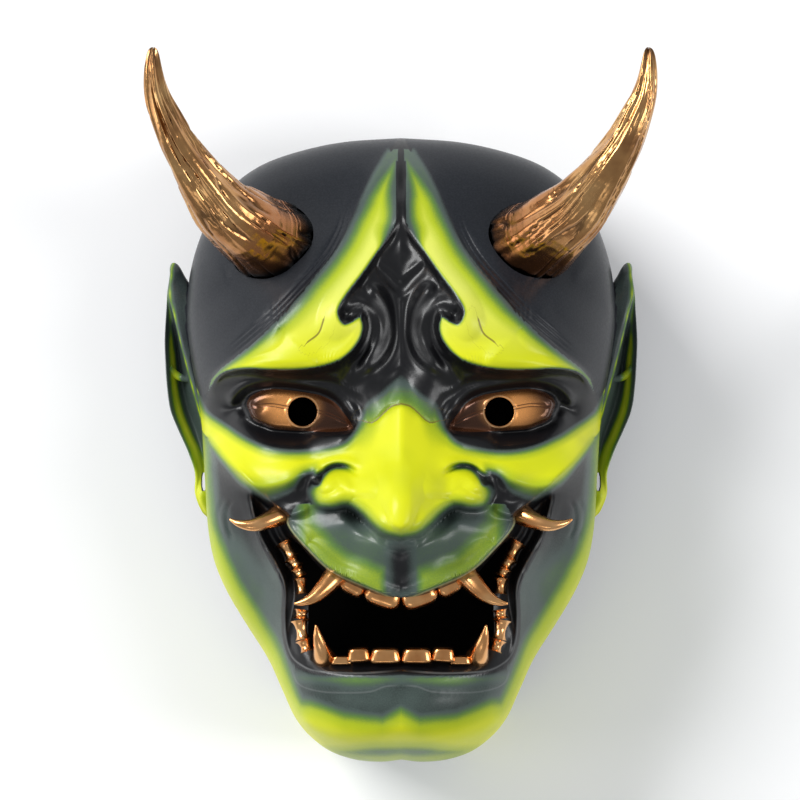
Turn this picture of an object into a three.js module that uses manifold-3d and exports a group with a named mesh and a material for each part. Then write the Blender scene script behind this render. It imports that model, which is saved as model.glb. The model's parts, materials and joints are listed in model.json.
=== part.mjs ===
// Hannya mask, lying on its back: +Z out of the face, +Y to the crown, the flat back rim at z = 0.
// One casting carries skull, hair, face, ears, eyes, teeth and fangs. Two horns are glued in sockets.
// The carving is drawn as lines on one half of the face and mirrored, then raised as a height field.
import * as THREE from 'three';
import { mergeVertices } from 'three/addons/utils/BufferGeometryUtils.js';
import Module from 'manifold-3d';

// Driving sizes in millimetres
const FACE_WIDTH = 164;
const FACE_HEIGHT = 238;
const FACE_RISE = 79;
const RIM_DEPTH = 46;
const RIM_TUCK = 5;
const WALL = 4;
const PUPIL_DIAMETER = 11;
const HORN_LENGTH = 99;
const HORN_DIAMETER = 31;
const SOCKET_DEPTH = 2.4;
const GLUE_GAP = 0.3;
const EAR_REACH = 14;
const FANG_DIAMETER = 8;
const SIDE_TOOTH_DIAMETER = 4.4;
const TOOTH_DEPTH = 14;
const RIM_STEP = 5;
const FACE_STEP = 7;
const INNER_STEP = 8.5;

// The carving is drawn on a face of this size, and shares of it follow the driving sizes
const DRAWN_WIDTH = 164;
const DRAWN_HEIGHT = 238;
const DRAWN_RISE = 79;
const DRAWN_RIM = 46;
const DRAWN_CENTRE = -17;
const ACROSS = FACE_WIDTH / DRAWN_WIDTH;
const TALL = FACE_HEIGHT / DRAWN_HEIGHT;
const DEEP = FACE_RISE / DRAWN_RISE;

const placed = (x, y, z) => new THREE.Vector3(x * ACROSS, y * TALL, RIM_DEPTH + (z - DRAWN_RIM) * DEEP);

const wasm = await Module();
wasm.setup();

// Curves and distances on the drawing

function curve(points, closed = false) {
  const list = closed ? [...points, points[0]] : points;
  const line = new THREE.SplineCurve(list.map(([x, y]) => new THREE.Vector2(x, y)));
  return line.getPoints((list.length - 1) * 5);
}

const clamp = (t) => Math.min(1, Math.max(0, t));

function smooth(t) {
  const s = clamp(t);
  return s * s * (3 - 2 * s);
}

function along(line, at) {
  const forward = line[0].x < line[line.length - 1].x;
  const list = forward ? line : [...line].reverse();
  if (at <= list[0].x) return list[0].y;
  for (let i = 1; i < list.length; i += 1) {
    if (at <= list[i].x) {
      const t = (at - list[i - 1].x) / (list[i].x - list[i - 1].x);
      return THREE.MathUtils.lerp(list[i - 1].y, list[i].y, t);
    }
  }
  return list[list.length - 1].y;
}

// Distance to a line, the side it lies on (1 is left of travel), the share of its length, the point
function near(line, x, y) {
  const found = { d: Infinity, side: 1, share: 0, x: 0, y: 0 };
  let best = Infinity;
  let run = 0;
  let at = 0;
  for (let i = 1; i < line.length; i += 1) {
    const a = line[i - 1];
    const vx = line[i].x - a.x;
    const vy = line[i].y - a.y;
    const length = Math.hypot(vx, vy);
    const t = clamp(((x - a.x) * vx + (y - a.y) * vy) / (length * length || 1));
    const qx = x - a.x - t * vx;
    const qy = y - a.y - t * vy;
    const square = qx * qx + qy * qy;
    if (square < best) {
      best = square;
      at = run + t * length;
      found.side = vx * (y - a.y) - vy * (x - a.x) >= 0 ? 1 : -1;
      found.x = x - qx;
      found.y = y - qy;
    }
    run += length;
  }
  found.d = Math.sqrt(best);
  found.share = at / run;
  return found;
}

function depthInside(outline, x, y) {
  let inside = false;
  for (let i = 0; i < outline.length; i += 1) {
    const a = outline[i];
    const b = outline[(i + 1) % outline.length];
    const crosses = a.y > y !== b.y > y;
    if (crosses && x < ((b.x - a.x) * (y - a.y)) / (b.y - a.y) + a.x) inside = !inside;
  }
  const d = near([...outline, outline[0]], x, y).d;
  return inside ? d : -d;
}

// Carving strokes. A stroke fades over the first and last shares of its line.

function ends(share, first, last) {
  const start = first > 0 ? smooth(share / first) : 1;
  const stop = last > 0 ? smooth((1 - share) / last) : 1;
  return start * stop;
}

function ledge(x, y, line, height, soft, sharp, first, last) {
  const { d, side, share } = near(line, x, y);
  const profile = side < 0 ? (1 - clamp(d / soft)) ** 2 : 1 - smooth(d / sharp);
  return height * ends(share, first, last) * profile;
}

function groove(x, y, line, depth, width, first, last) {
  const { d, share } = near(line, x, y);
  return -depth * ends(share, first, last) * (1 - smooth(d / width));
}

function roll(x, y, line, height, width, first, last) {
  const { d, share } = near(line, x, y);
  const fade = ends(share, first, last);
  const half = width * (0.35 + 0.65 * fade);
  return height * fade * Math.sqrt(clamp(1 - (d / half) ** 2));
}

function mound(x, y, [cx, cy, rx, ry, height, turn]) {
  const c = Math.cos(THREE.MathUtils.degToRad(turn));
  const s = Math.sin(THREE.MathUtils.degToRad(turn));
  const u = ((x - cx) * c + (y - cy) * s) / rx;
  const v = (-(x - cx) * s + (y - cy) * c) / ry;
  return height * smooth(1 - Math.hypot(u, v));
}

function blend(a, b, width) {
  const h = clamp(0.5 + (0.5 * (a - b)) / width);
  return b + (a - b) * h + width * h * (1 - h);
}

// Outline of the casting seen from the front, from the crown down one side to the chin
const OUTLINE = curve([[0, 102], [21.5, 100.5], [38.5, 97], [52.5, 92], [63, 85], [71, 76.5], [76.5, 64.5],
  [80, 53], [81.6, 41], [81.5, 28], [79.5, 14], [77, 1], [75.8, -11.5], [75, -25], [74.3, -40], [73, -52],
  [70.5, -62], [65.5, -73], [58, -85.5], [50.5, -97.5], [45, -109.5], [40.5, -119], [35, -126], [27, -132],
  [17.5, -135.2], [8, -136], [0, -135.2]]);

const MIDDLE = [OUTLINE[OUTLINE.length - 1], OUTLINE[0]];

// Height of the middle over the length of the face, and how square the swell is across it
const MIDLINE = curve([[-140, 92], [-120, 95], [-100, 94], [-80, 94], [-60, 95], [-40, 96], [0, 96],
  [40, 97], [60, 96], [80, 94], [110, 90]]);
const SQUARENESS = curve([[-140, 5.5], [-110, 4.5], [-80, 3.4], [-50, 2.8], [-10, 2.5], [40, 2.4],
  [110, 2.3]]);

// Brow wings: the sharp inner and lower edge from the parting round the hook, and the hair line
const WING_EDGE = curve([[1, 97.5], [2, 84], [1.5, 71], [3.5, 64.5], [8.5, 57.5], [14, 49.5], [20, 41.5],
  [23, 36.5], [23, 33], [21, 30.5], [17.5, 32], [15, 33.8], [14, 29], [15.5, 24], [20, 18.5], [25.5, 15.5],
  [34, 13.5], [46.5, 13], [58, 13.5], [65.5, 12.5], [69.5, 10], [72.5, 5.5]]);
const HAIR_LINE = curve([[73, 5.5], [71.5, 10], [67, 14.5], [56.5, 22.5], [44, 34], [34, 46], [23.5, 59.5],
  [18, 70], [13, 80.5], [8.5, 89.5], [4.5, 96.5]]);
const WING = [...WING_EDGE, ...HAIR_LINE];
const WING_RISE = curve([[0, 0], [12, 7.5], [22, 7], [36, 5.5], [60, 4.5], [84, 2.5], [97, 0.3]]);

// Forehead folds, nose, cheeks, mouth, chin and eyes
const CURL = curve([[14.5, 45.5], [10.5, 43.5], [6.5, 38], [5, 32], [5, 25], [8, 18.5], [12.5, 14.5],
  [18.5, 10.5]]);
const HOOK = curve([[20.6, 33], [20, 36.1], [17.3, 38.5], [13.9, 38], [10.9, 35.2], [9.3, 31.4],
  [9.2, 27.5], [10.4, 22.7], [13, 18], [17, 14.8]]);
const LEAF = curve([[17, 3.7], [11.2, 5.4], [6.7, 8.8], [3, 12.6]]);
const SPIKE = curve([[0, 84], [0, 70], [0, 58]]);
const CHEVRON = curve([[9, 54], [4.5, 50.5], [0, 46.5]]);
const BRIDGE = curve([[0, 9.5], [3.5, 6], [8, 3], [13, 0.5], [14.5, -2]]);
const NOSE_RIDGE = curve([[-55, 112], [-49, 120], [-44, 123], [-38, 121.5], [-30, 117], [-20, 110.5],
  [-10, 105], [0, 100], [6, 96], [12, 92], [22, 84]]);
const NOSE_SLOPE = curve([[-55, 1], [-44, 0.85], [-30, 0.6], [-8, 0.62], [6, 0.78], [22, 1.2]]);
const NOSE_UNDER = curve([[36, -22], [35, -29], [34.2, -34], [31.5, -38], [26, -38.8], [20, -38],
  [15.5, -40.8], [11.5, -44.8], [6, -48.4], [0, -49.8]]);
const SNARL = curve([[33, -27], [31, -25], [27.5, -22.4], [23.5, -21.4], [19, -22.3], [15.5, -25.5]]);
const NOSTRIL_CREASE = curve([[31, -28.5], [27.5, -24.2], [23.5, -22.8], [19, -23.7], [15.5, -27]]);
const CHEEK_CREST = curve([[73, -13], [68.5, -18.5], [63, -24.5], [58, -28.5], [51.5, -30], [44.5, -29],
  [38, -26], [32, -24.5]]);
const CHEEK_EDGE = curve([[74, -12], [66, -20.5], [58, -27.5], [51.5, -35.5], [46, -39.5], [41.5, -41],
  [37.5, -40], [33, -37]]);
const MUZZLE = curve([[41.5, -41], [42.6, -43.2], [42, -45.5], [39.5, -49], [34, -55], [29.5, -59.5],
  [24.5, -63], [17, -65.8], [7.5, -68.2], [0, -69]]);
const LIP = curve([[0, -99.5], [13.5, -100.5], [23, -100.5], [32, -100], [37.5, -98], [41.5, -94.5],
  [43.5, -87.5], [43.8, -79], [43.5, -70], [45, -64], [49, -56.5], [53, -49], [56.5, -37], [57, -30]]);
const LOWER_LIP = curve([[41.5, -98.5], [39, -105], [32, -107.5], [23, -108], [12, -107.5], [6, -105.5],
  [0, -105]]);
const CHIN = curve([[41, -110], [36, -118], [30.5, -122], [23, -124], [15.5, -124.5], [8, -123.5],
  [0, -122]]);
const JAW_VALLEY = curve([[63, -38], [60, -53], [55, -68], [51, -81.5], [47, -94.5], [43, -106]]);
const GUM = curve([[-104, 86], [-100, 86], [-92, 81], [-80, 77], [-60, 76], [-40, 78], [-30, 82], [-20, 84]]);
const MOUTH = [new THREE.Vector2(-25, -99.5), ...LIP, ...MUZZLE, new THREE.Vector2(-25, -69)];
const EYE = curve([[58, 1], [55.5, 4], [49.5, 6], [42, 5.5], [35, 4.5], [30, 3.5], [25, 1], [21.5, -3],
  [19, -6.5], [18.5, -9], [25, -10], [35, -9.8], [47, -9], [51.5, -7.5], [55.5, -5.5], [57.3, -2]], true);
const EYE_CLOSED = [...EYE, EYE[0]];
const UPPER_LID = curve([[64, -1.5], [63.5, 3], [60, 6.2], [55.5, 8], [48.5, 8.7], [42, 8], [35, 7],
  [27.5, 5.7], [23, 3], [18, -2], [15.5, -7]]);
const LOWER_LID = curve([[61, 0], [59.5, -6], [56, -10.5], [51, -13], [46, -13.7], [37, -14],
  [27.5, -13], [21, -11.2], [16.5, -9]]);

// Outline reach from the drawing's centre, by angle from the crown
const REACH = OUTLINE.map((p) => new THREE.Vector2(Math.atan2(p.x, p.y - DRAWN_CENTRE),
  Math.hypot(p.x, p.y - DRAWN_CENTRE)));

function shareOut(x, y) {
  const angle = Math.atan2(Math.abs(x), y - DRAWN_CENTRE);
  return Math.hypot(x, y - DRAWN_CENTRE) / along(REACH, angle);
}

function wings(x, y) {
  const edge = near(WING_EDGE, x, y);
  const hair = near(HAIR_LINE, x, y);
  const on = depthInside(WING, x, y) > 0;
  const rise = along(WING_RISE, y) * smooth((78 - x) / 12);
  const plateau = on ? (hair.d / (edge.d + hair.d + 1e-6)) ** 0.8 : 1 - smooth(edge.d / 1.6);
  const rim = 1.3 * (1 - smooth(hair.d / (on ? 7 : 2.2))) * ends(hair.share, 0.08, 0.08);
  return rise * plateau + rim;
}

function forehead(x, y) {
  return roll(x, y, CURL, 3.4, 4.2, 0.12, 0.2)
    + roll(x, y, HOOK, 3.2, 3, 0.1, 0.3)
    + roll(x, y, LEAF, 2.6, 2.8, 0.35, 0.3)
    + roll(x, y, SPIKE, 2, 2.2, 0.3, 0.3)
    + ledge(x, y, CHEVRON, 2.6, 12, 1, 0.1, 0)
    + ledge(x, y, BRIDGE, 2, 9, 1.5, 0, 0.2);
}

// The nose is a roof along its ridge, a round tip and a domed wing beside each nostril
const RIDGE_ROUNDING = 2.5;
const TIP = { y: -41, z: 125, across: 0.05, down: 0.045 };
const NOSE_WING = { x: 24, y: -33, halfWidth: 10.2, halfHeight: 9.4, foot: 92, rise: 17 };

function noseHeight(x, y) {
  const away = Math.hypot(x, RIDGE_ROUNDING) - RIDGE_ROUNDING;
  const roof = along(NOSE_RIDGE, y) - along(NOSE_SLOPE, y) * away;
  const tip = TIP.z - TIP.across * x * x - TIP.down * (y - TIP.y) ** 2;
  const { foot, rise } = NOSE_WING;
  const span = Math.hypot((x - NOSE_WING.x) / NOSE_WING.halfWidth, (y - NOSE_WING.y) / NOSE_WING.halfHeight);
  const wing = span < 1 ? foot + rise * Math.sqrt(1 - span * span) : 0;
  return blend(blend(roof, tip, 4), wing, 2.5);
}

// Broad swells and hollows: x, y, half width, half height, rise and turn in degrees. They are the
// eye hollow, cheekbone, muzzle, chin, brow and forehead hollow.
const SWELLS = [[40, -3, 36, 20, -15, 0], [54, -20, 30, 19, 8, 14], [0, -56, 54, 28, 12, 0],
  [0, -119, 50, 26, 11, 0], [44, 28, 50, 24, 8, -30], [0, 28, 16, 44, -5, 0]];
const NOSTRIL = [15.5, -43, 10, 4, -7, 38];
const EYEBALL = { x: 38, y: -2.5, halfWidth: 27, halfHeight: 14, foot: 82, rise: 7 };

// Drawn height of the face at a drawn place. The share is 0 at the centre and 1 at the rim edge.
function relief(sideways, y, share) {
  const x = Math.abs(sideways);
  const swell = Math.sqrt(clamp(1 - clamp(share) ** along(SQUARENESS, y)));
  let z = DRAWN_RIM + (along(MIDLINE, y) - DRAWN_RIM) * swell;
  SWELLS.forEach((swelling) => {
    z += mound(x, y, swelling);
  });
  z += wings(x, y) + forehead(x, y);
  const under = near(NOSE_UNDER, x, y);
  const onNose = smooth(0.5 - (under.side * under.d) / 2.4) * smooth((24 - y) / 8) * smooth((y + 56) / 3);
  z += (blend(z, noseHeight(x, y), 3) - z) * onNose * smooth((38 - x) / 5);
  z += ledge(x, y, SNARL, 2.2, 7, 1, 0.15, 0.2);
  z += groove(x, y, NOSTRIL_CREASE, 4, 1.9, 0.1, 0.25);
  z += mound(x, y, NOSTRIL);
  z += ledge(x, y, CHEEK_CREST, 3, 13, 12, 0.2, 0.25);
  z += ledge(x, y, CHEEK_EDGE, 5, 9, 1.6, 0.15, 0.1);
  z += ledge(x, y, MUZZLE, 3, 12, 1.5, 0.1, 0);
  const gum = Math.min(z, along(GUM, y));
  z += (gum - z) * smooth(depthInside(MOUTH, x, y) / 3.2);
  z += ledge(x, y, LIP, 3, 8, 1.6, 0, 0.15);
  z += ledge(x, y, LOWER_LIP, 2.2, 5, 2, 0.1, 0);
  z += ledge(x, y, CHIN, 1.6, 9, 9, 0.25, 0);
  z += groove(x, y, JAW_VALLEY, 5, 14, 0.2, 0.3);
  z += roll(x, y, UPPER_LID, 3.4, 2.7, 0.08, 0.12);
  z += roll(x, y, LOWER_LID, 3.2, 3.6, 0.1, 0.15);
  const span = Math.hypot((x - EYEBALL.x) / EYEBALL.halfWidth, (y - EYEBALL.y) / EYEBALL.halfHeight);
  const ball = EYEBALL.foot + EYEBALL.rise * Math.sqrt(clamp(1 - span * span));
  z += (ball - z) * smooth(0.5 + depthInside(EYE, x, y) / 1.6);
  return z;
}

// Closed solids

function toSolid(geometry) {
  const bare = geometry.clone();
  bare.deleteAttribute('normal');
  bare.deleteAttribute('uv');
  const merged = mergeVertices(bare, 1e-4);
  const mesh = new wasm.Mesh({
    numProp: 3,
    vertProperties: new Float32Array(merged.attributes.position.array),
    triVerts: new Uint32Array(merged.index.array),
  });
  return new wasm.Manifold(mesh);
}

function toMesh(solid, name, material) {
  const { vertProperties, triVerts } = solid.getMesh();
  const geometry = new THREE.BufferGeometry();
  geometry.setAttribute('position', new THREE.BufferAttribute(vertProperties, 3));
  geometry.setIndex(new THREE.BufferAttribute(triVerts, 1));
  geometry.computeVertexNormals();
  const mesh = new THREE.Mesh(geometry, material);
  mesh.name = name;
  return mesh;
}

// Rings of points closed into a body. Each ring turns counterclockwise seen from the last ring.
function loft(rings) {
  const count = rings[0].length;
  const points = rings.flat();
  const index = [];
  for (let k = 0; k + 1 < rings.length; k += 1) {
    for (let i = 0; i < count; i += 1) {
      const a = k * count + i;
      const b = k * count + ((i + 1) % count);
      index.push(a, b, b + count, a, b + count, a + count);
    }
  }
  const cap = (ring, first, flip) => {
    const middle = new THREE.Vector3();
    ring.forEach((p) => middle.addScaledVector(p, 1 / count));
    points.push(middle);
    for (let i = 0; i < count; i += 1) {
      const pair = [first + i, first + ((i + 1) % count)];
      index.push(points.length - 1, ...(flip ? pair.reverse() : pair));
    }
  };
  cap(rings[0], 0, true);
  cap(rings[rings.length - 1], (rings.length - 1) * count, false);
  const geometry = new THREE.BufferGeometry().setFromPoints(points);
  geometry.setIndex(index);
  return geometry;
}

// A round body along a curve, with its radius given by the share of the length
function taper(points, radius, sides, steps, from = 0) {
  const line = new THREE.CatmullRomCurve3(points);
  const frames = line.computeFrenetFrames(steps, false);
  const rings = [];
  for (let k = 0; k <= steps; k += 1) {
    const share = from + ((1 - from) * k) / steps;
    const centre = line.getPointAt(share);
    const ring = [];
    for (let i = 0; i < sides; i += 1) {
      const angle = (i / sides) * Math.PI * 2;
      const out = frames.normals[k].clone().multiplyScalar(Math.cos(angle));
      out.addScaledVector(frames.binormals[k], Math.sin(angle));
      ring.push(out.multiplyScalar(radius(share, angle)).add(centre));
    }
    rings.push(ring);
  }
  return loft(rings);
}

function mirrored(solid) {
  return solid.mirror([1, 0, 0]);
}

// Points of one half of the face, kept a least distance apart. The first ones run down the rim.
function spread(rim, groups) {
  const points = [...rim];
  groups.forEach(({ places, apart }) => {
    places.forEach((p) => {
      if (p.x < 0) return;
      const place = p.x < apart * 0.5 ? new THREE.Vector2(0, p.y) : p;
      const crowded = points.some((q, i) => q.distanceTo(place) < (i < rim.length ? 3 : apart));
      if (!crowded && shareOut(place.x, place.y) < 0.985) points.push(place);
    });
  });
  return points;
}

// Places along a line, or beside it: a positive offset is left of travel
function spaced(line, step, offset = 0) {
  const places = [];
  let run = step / 2;
  for (let i = 1; i < line.length; i += 1) {
    const a = line[i - 1];
    const way = line[i].clone().sub(a);
    const length = way.length();
    while (run <= length && length > 0) {
      const left = new THREE.Vector2(-way.y, way.x).multiplyScalar(offset / length);
      places.push(a.clone().addScaledVector(way, run / length).add(left));
      run += step;
    }
    run -= length;
  }
  return places;
}

function honeycomb(step) {
  const places = [];
  const row = (step * Math.sqrt(3)) / 2;
  const highest = OUTLINE[0].y;
  for (let j = 0; j * row < DRAWN_HEIGHT; j += 1) {
    for (let i = 0; i * step < DRAWN_WIDTH / 2; i += 1) {
      places.push(new THREE.Vector2((i + (j % 2) / 2) * step, highest - j * row));
    }
  }
  return places;
}

// Delaunay triangles over scattered points, counterclockwise
function triangulate(points) {
  const far = 20 * DRAWN_HEIGHT;
  const corners = [new THREE.Vector2(-far, -far), new THREE.Vector2(far, -far), new THREE.Vector2(0, far)];
  const all = [...points, ...corners];
  const circled = (i, j, k) => {
    const b = all[j].clone().sub(all[i]);
    const c = all[k].clone().sub(all[i]);
    const twice = 2 * b.cross(c);
    const x = (c.y * b.lengthSq() - b.y * c.lengthSq()) / twice;
    const y = (b.x * c.lengthSq() - c.x * b.lengthSq()) / twice;
    return { corners: [i, j, k], x: all[i].x + x, y: all[i].y + y, square: x * x + y * y };
  };
  let triangles = [circled(points.length, points.length + 1, points.length + 2)];
  points.forEach((p, at) => {
    const edges = new Map();
    triangles = triangles.filter((t) => {
      if ((p.x - t.x) ** 2 + (p.y - t.y) ** 2 >= t.square) return true;
      t.corners.forEach((a, i) => {
        const b = t.corners[(i + 1) % 3];
        if (!edges.delete(`${b},${a}`)) edges.set(`${a},${b}`, [a, b]);
      });
      return false;
    });
    edges.forEach(([a, b]) => triangles.push(circled(a, b, at)));
  });
  return triangles.map((t) => t.corners).filter((c) => Math.max(...c) < points.length);
}

// A closed body: both halves of the face, the side wall tucked in below it, and a flat foot
function faceSolid(half, rimCount, place, bottoms) {
  const points = half.map((p, i) => place(p, i < rimCount));
  const other = half.map((p, i) => {
    if (p.x === 0) return i;
    return points.push(points[i].clone().setX(-points[i].x)) - 1;
  });
  const index = [];
  triangulate(half).forEach(([a, b, c]) => {
    const middle = half[a].clone().add(half[b]).add(half[c]).divideScalar(3);
    if (depthInside(OUTLINE, middle.x, middle.y) < 0) return;
    index.push(a, b, c, other[a], other[c], other[b]);
  });
  const side = half.slice(0, rimCount).map((p, i) => i);
  const rim = [...side, ...side.slice(1, -1).reverse().map((i) => other[i])].reverse();
  let above = rim;
  bottoms.forEach((lower) => {
    const below = rim.map((at) => points.push(lower(points[at])) - 1);
    above.forEach((a, i) => {
      const b = above[(i + 1) % rim.length];
      const next = below[(i + 1) % rim.length];
      index.push(a, next, b, a, below[i], next);
    });
    above = below;
  });
  points.push(points[above[0]].clone().setX(0).setY(DRAWN_CENTRE * TALL));
  above.forEach((a, i) => index.push(points.length - 1, above[(i + 1) % rim.length], a));
  const geometry = new THREE.BufferGeometry().setFromPoints(points);
  geometry.setIndex(index);
  return toSolid(geometry);
}

// Each carved line gets points on its crest and at its foot, so that the facets follow the carving
const CARVED = [[WING_EDGE, 3.2, [0, -1.6]], [HAIR_LINE, 6, [0]], [NOSE_UNDER, 3, [-1.2, 1.2]],
  [EYE_CLOSED, 3, [-0.8, 0.8]], [LIP, 3.6, [0, 2.4]], [MUZZLE, 3.4, [0, 1.5]], [CHEEK_EDGE, 3.4, [0, 1.6]],
  [NOSTRIL_CREASE, 2.6, [0, -1.9, 1.9]], [HOOK, 2.8, [0, -2.8, 2.8]], [CURL, 3, [0, -3.6, 3.6]],
  [LEAF, 3, [0, -2.4, 2.4]], [UPPER_LID, 3.4, [0, 2.4]], [LOWER_LID, 3.8, [0, -3.2]],
  [CHEVRON, 3, [0, 1]], [CHEEK_CREST, 4.5, [0]], [LOWER_LIP, 4.5, [0, 2]], [CHIN, 6, [0]],
  [SPIKE, 4, [0, 2]]];

function surface(x, y) {
  return placed(x, y, relief(x, y, shareOut(x, y)));
}

function towardsCentre(point, by, z) {
  const inward = new THREE.Vector2(-point.x, DRAWN_CENTRE * TALL - point.y).setLength(by);
  return new THREE.Vector3(point.x + inward.x, point.y + inward.y, z);
}

function rimPlaces(step) {
  const inner = spaced(OUTLINE, step);
  return [OUTLINE[0], ...inner, OUTLINE[OUTLINE.length - 1]];
}

function outerSolid() {
  const rim = rimPlaces(RIM_STEP);
  const centre = new THREE.Vector2(0, DRAWN_CENTRE);
  const shrunk = (share) => rim.map((p) => centre.clone().lerp(p, share));
  const carved = CARVED.flatMap(([line, step, offsets]) => offsets.flatMap((by) => spaced(line, step, by)));
  const half = spread(rim, [
    { places: shrunk(0.97), apart: 3 },
    { places: carved, apart: 1.1 },
    { places: spaced(MIDDLE, 3.4), apart: 2 },
    { places: honeycomb(FACE_STEP), apart: 3.2 },
  ]);
  const place = (p, onRim) => (onRim ? placed(p.x, p.y, DRAWN_RIM) : surface(p.x, p.y));
  return faceSolid(half, rim.length, place, [
    (top) => towardsCentre(top, RIM_TUCK * 0.3, RIM_DEPTH * 0.5),
    (top) => towardsCentre(top, RIM_TUCK, 0),
  ]);
}

// The hollow back keeps the wall's thickness below the lowest carving near each place
function innerSolid() {
  const turns = [0, 1, 2, 3, 4, 5, 6, 7].map((i) => (i * Math.PI) / 4);
  const feel = [0.4, 0.8].flatMap((k) => turns.map((turn) => [k * INNER_STEP, turn]));
  const rim = rimPlaces(2 * RIM_STEP);
  const half = spread(rim, [
    { places: spaced(MIDDLE, 0.7 * INNER_STEP), apart: 0.6 * INNER_STEP },
    { places: honeycomb(INNER_STEP), apart: 0.6 * INNER_STEP },
  ]);
  const place = (p) => {
    const share = shareOut(p.x, p.y);
    const out = placed(p.x, p.y, DRAWN_RIM);
    const inside = share > 0.02 ? towardsCentre(out, WALL * share, 0) : out;
    const x = inside.x / ACROSS;
    const y = inside.y / TALL;
    const lows = feel.map(([reach, turn]) => {
      const nearX = x + (reach * Math.cos(turn)) / ACROSS;
      return surface(nearX, y + (reach * Math.sin(turn)) / TALL).z;
    });
    return inside.setZ(Math.min(surface(x, y).z, ...lows) - WALL);
  };
  return faceSolid(half, rim.length, place, [
    (top) => towardsCentre(top, RIM_TUCK * 0.3, RIM_DEPTH * 0.5),
    (top) => towardsCentre(top, RIM_TUCK, -WALL),
  ]);
}

const outer = outerSolid();
const inner = innerSolid();

// Mouth opening between the gums, and the pupils that the wearer looks through
const HOLE = curve([[0, -72], [8, -71.2], [17, -68.8], [26, -65.5], [33, -58.5], [38.5, -52], [40, -54],
  [37, -66], [35, -75], [35, -88], [32, -93], [26, -95], [15, -95.8], [0, -96]]);
const PUPIL = [37, -2.5];
const THROUGH = RIM_DEPTH + 2 * FACE_RISE;

function mouthCut() {
  const kept = HOLE.filter((p, i) => i % 2 === 0 || i === HOLE.length - 1);
  const half = kept.map((p) => new THREE.Vector2(p.x * ACROSS, p.y * TALL));
  const other = half.slice(1, -1).reverse().map((p) => new THREE.Vector2(-p.x, p.y));
  const cut = new THREE.ExtrudeGeometry(new THREE.Shape([...half, ...other]), {
    depth: THROUGH,
    bevelEnabled: false,
  });
  cut.translate(0, 0, -WALL);
  return toSolid(cut);
}

function pupilCut() {
  const cut = new THREE.CylinderGeometry(PUPIL_DIAMETER / 2, PUPIL_DIAMETER / 2, THROUGH, 20);
  cut.rotateX(Math.PI / 2);
  const place = placed(PUPIL[0], PUPIL[1], DRAWN_RIM);
  cut.translate(place.x, place.y, THROUGH / 2 - WALL);
  return toSolid(cut);
}

// Horns: round, tapering, curving up and out, with long shallow flutes
const HORN_LINE = [[40.4, 57, 66], [46.4, 60, 74], [52.2, 62.9, 82], [58.9, 67.9, 92], [66.7, 74, 100],
  [72.7, 81.5, 105], [77.5, 88.3, 109], [83.1, 97.3, 112], [87.3, 106.5, 114], [90.3, 114.4, 115],
  [91.7, 122.6, 115.5], [92, 132.5, 115.5]];
const HORN_SEAT = 2;
const HORN_DRAWN_LENGTH = 99;
const HORN_GIRTH = curve([[0, 1.04], [0.15, 1], [0.25, 0.9], [0.35, 0.8], [0.5, 0.63], [0.65, 0.47],
  [0.8, 0.33], [0.9, 0.22], [0.97, 0.14], [1, 0.06]]);

function hornPoints() {
  const seat = new THREE.Vector3(...HORN_LINE[HORN_SEAT]);
  const foot = placed(seat.x, seat.y, seat.z);
  const scale = HORN_LENGTH / HORN_DRAWN_LENGTH;
  return HORN_LINE.map((p) => new THREE.Vector3(...p).sub(seat).multiplyScalar(scale).add(foot));
}

function hornBody(extra) {
  const girth = (share, angle) => {
    const flute = 1 + 0.035 * Math.sin(5 * angle + 6 * share) * smooth(share / 0.3);
    return (HORN_DIAMETER / 2) * along(HORN_GIRTH, share) * flute + extra;
  };
  return toSolid(taper(hornPoints(), girth, 14, 15));
}

function horn() {
  return hornBody(0).subtract(outer.translate([0, 0, -SOCKET_DEPTH]));
}

function hornSocket() {
  return hornBody(GLUE_GAP).subtract(outer.translate([0, 0, -SOCKET_DEPTH - 1.5 * GLUE_GAP]));
}

// Ears: cupped leaves on the side wall. Each row is y, root, rim, back, front and depth of the cup.
const EAR_ROWS = [[53, 86.4, 88, 34, 36, 0], [46, 84, 89.6, 28, 39, 1], [38, 77, 90.6, 21, 42, 5],
  [24, 77, 91, 15, 43, 9], [9, 74.5, 90.4, 13, 42, 10], [-3, 73, 88, 15, 40, 8], [-13, 72.5, 83.4, 19, 38, 4],
  [-22, 71.5, 79.4, 22, 37, 1], [-33, 71.5, 79, 23, 37, 1], [-41.5, 71, 76, 27, 35, 0]];
const EAR_DRAWN_REACH = 14;
const SLIT = [75.6, -29.5, 2, 7];

function ear() {
  const rings = EAR_ROWS.map(([y, root, rim, back, front, cup]) => {
    const out = root + ((rim - root) * EAR_REACH) / EAR_DRAWN_REACH;
    const part = (share) => root + (out - root) * share;
    const section = [[root, back], [part(0.85), back + 2], [out, (back + front) / 2 + 2], [part(0.93), front],
      [part(0.72), front - 1], [part(0.45), front - 1 - cup], [part(0.15), front], [root, front + 1]];
    return section.map(([x, z]) => placed(x, y, 0).setZ((z * RIM_DEPTH) / DRAWN_RIM));
  });
  return toSolid(loft(rings));
}

function earSlit() {
  const cut = new THREE.BoxGeometry(SLIT[2] * ACROSS, SLIT[3] * TALL, THROUGH);
  cut.translate(SLIT[0] * ACROSS, SLIT[1] * TALL, 0);
  return toSolid(cut);
}

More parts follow.
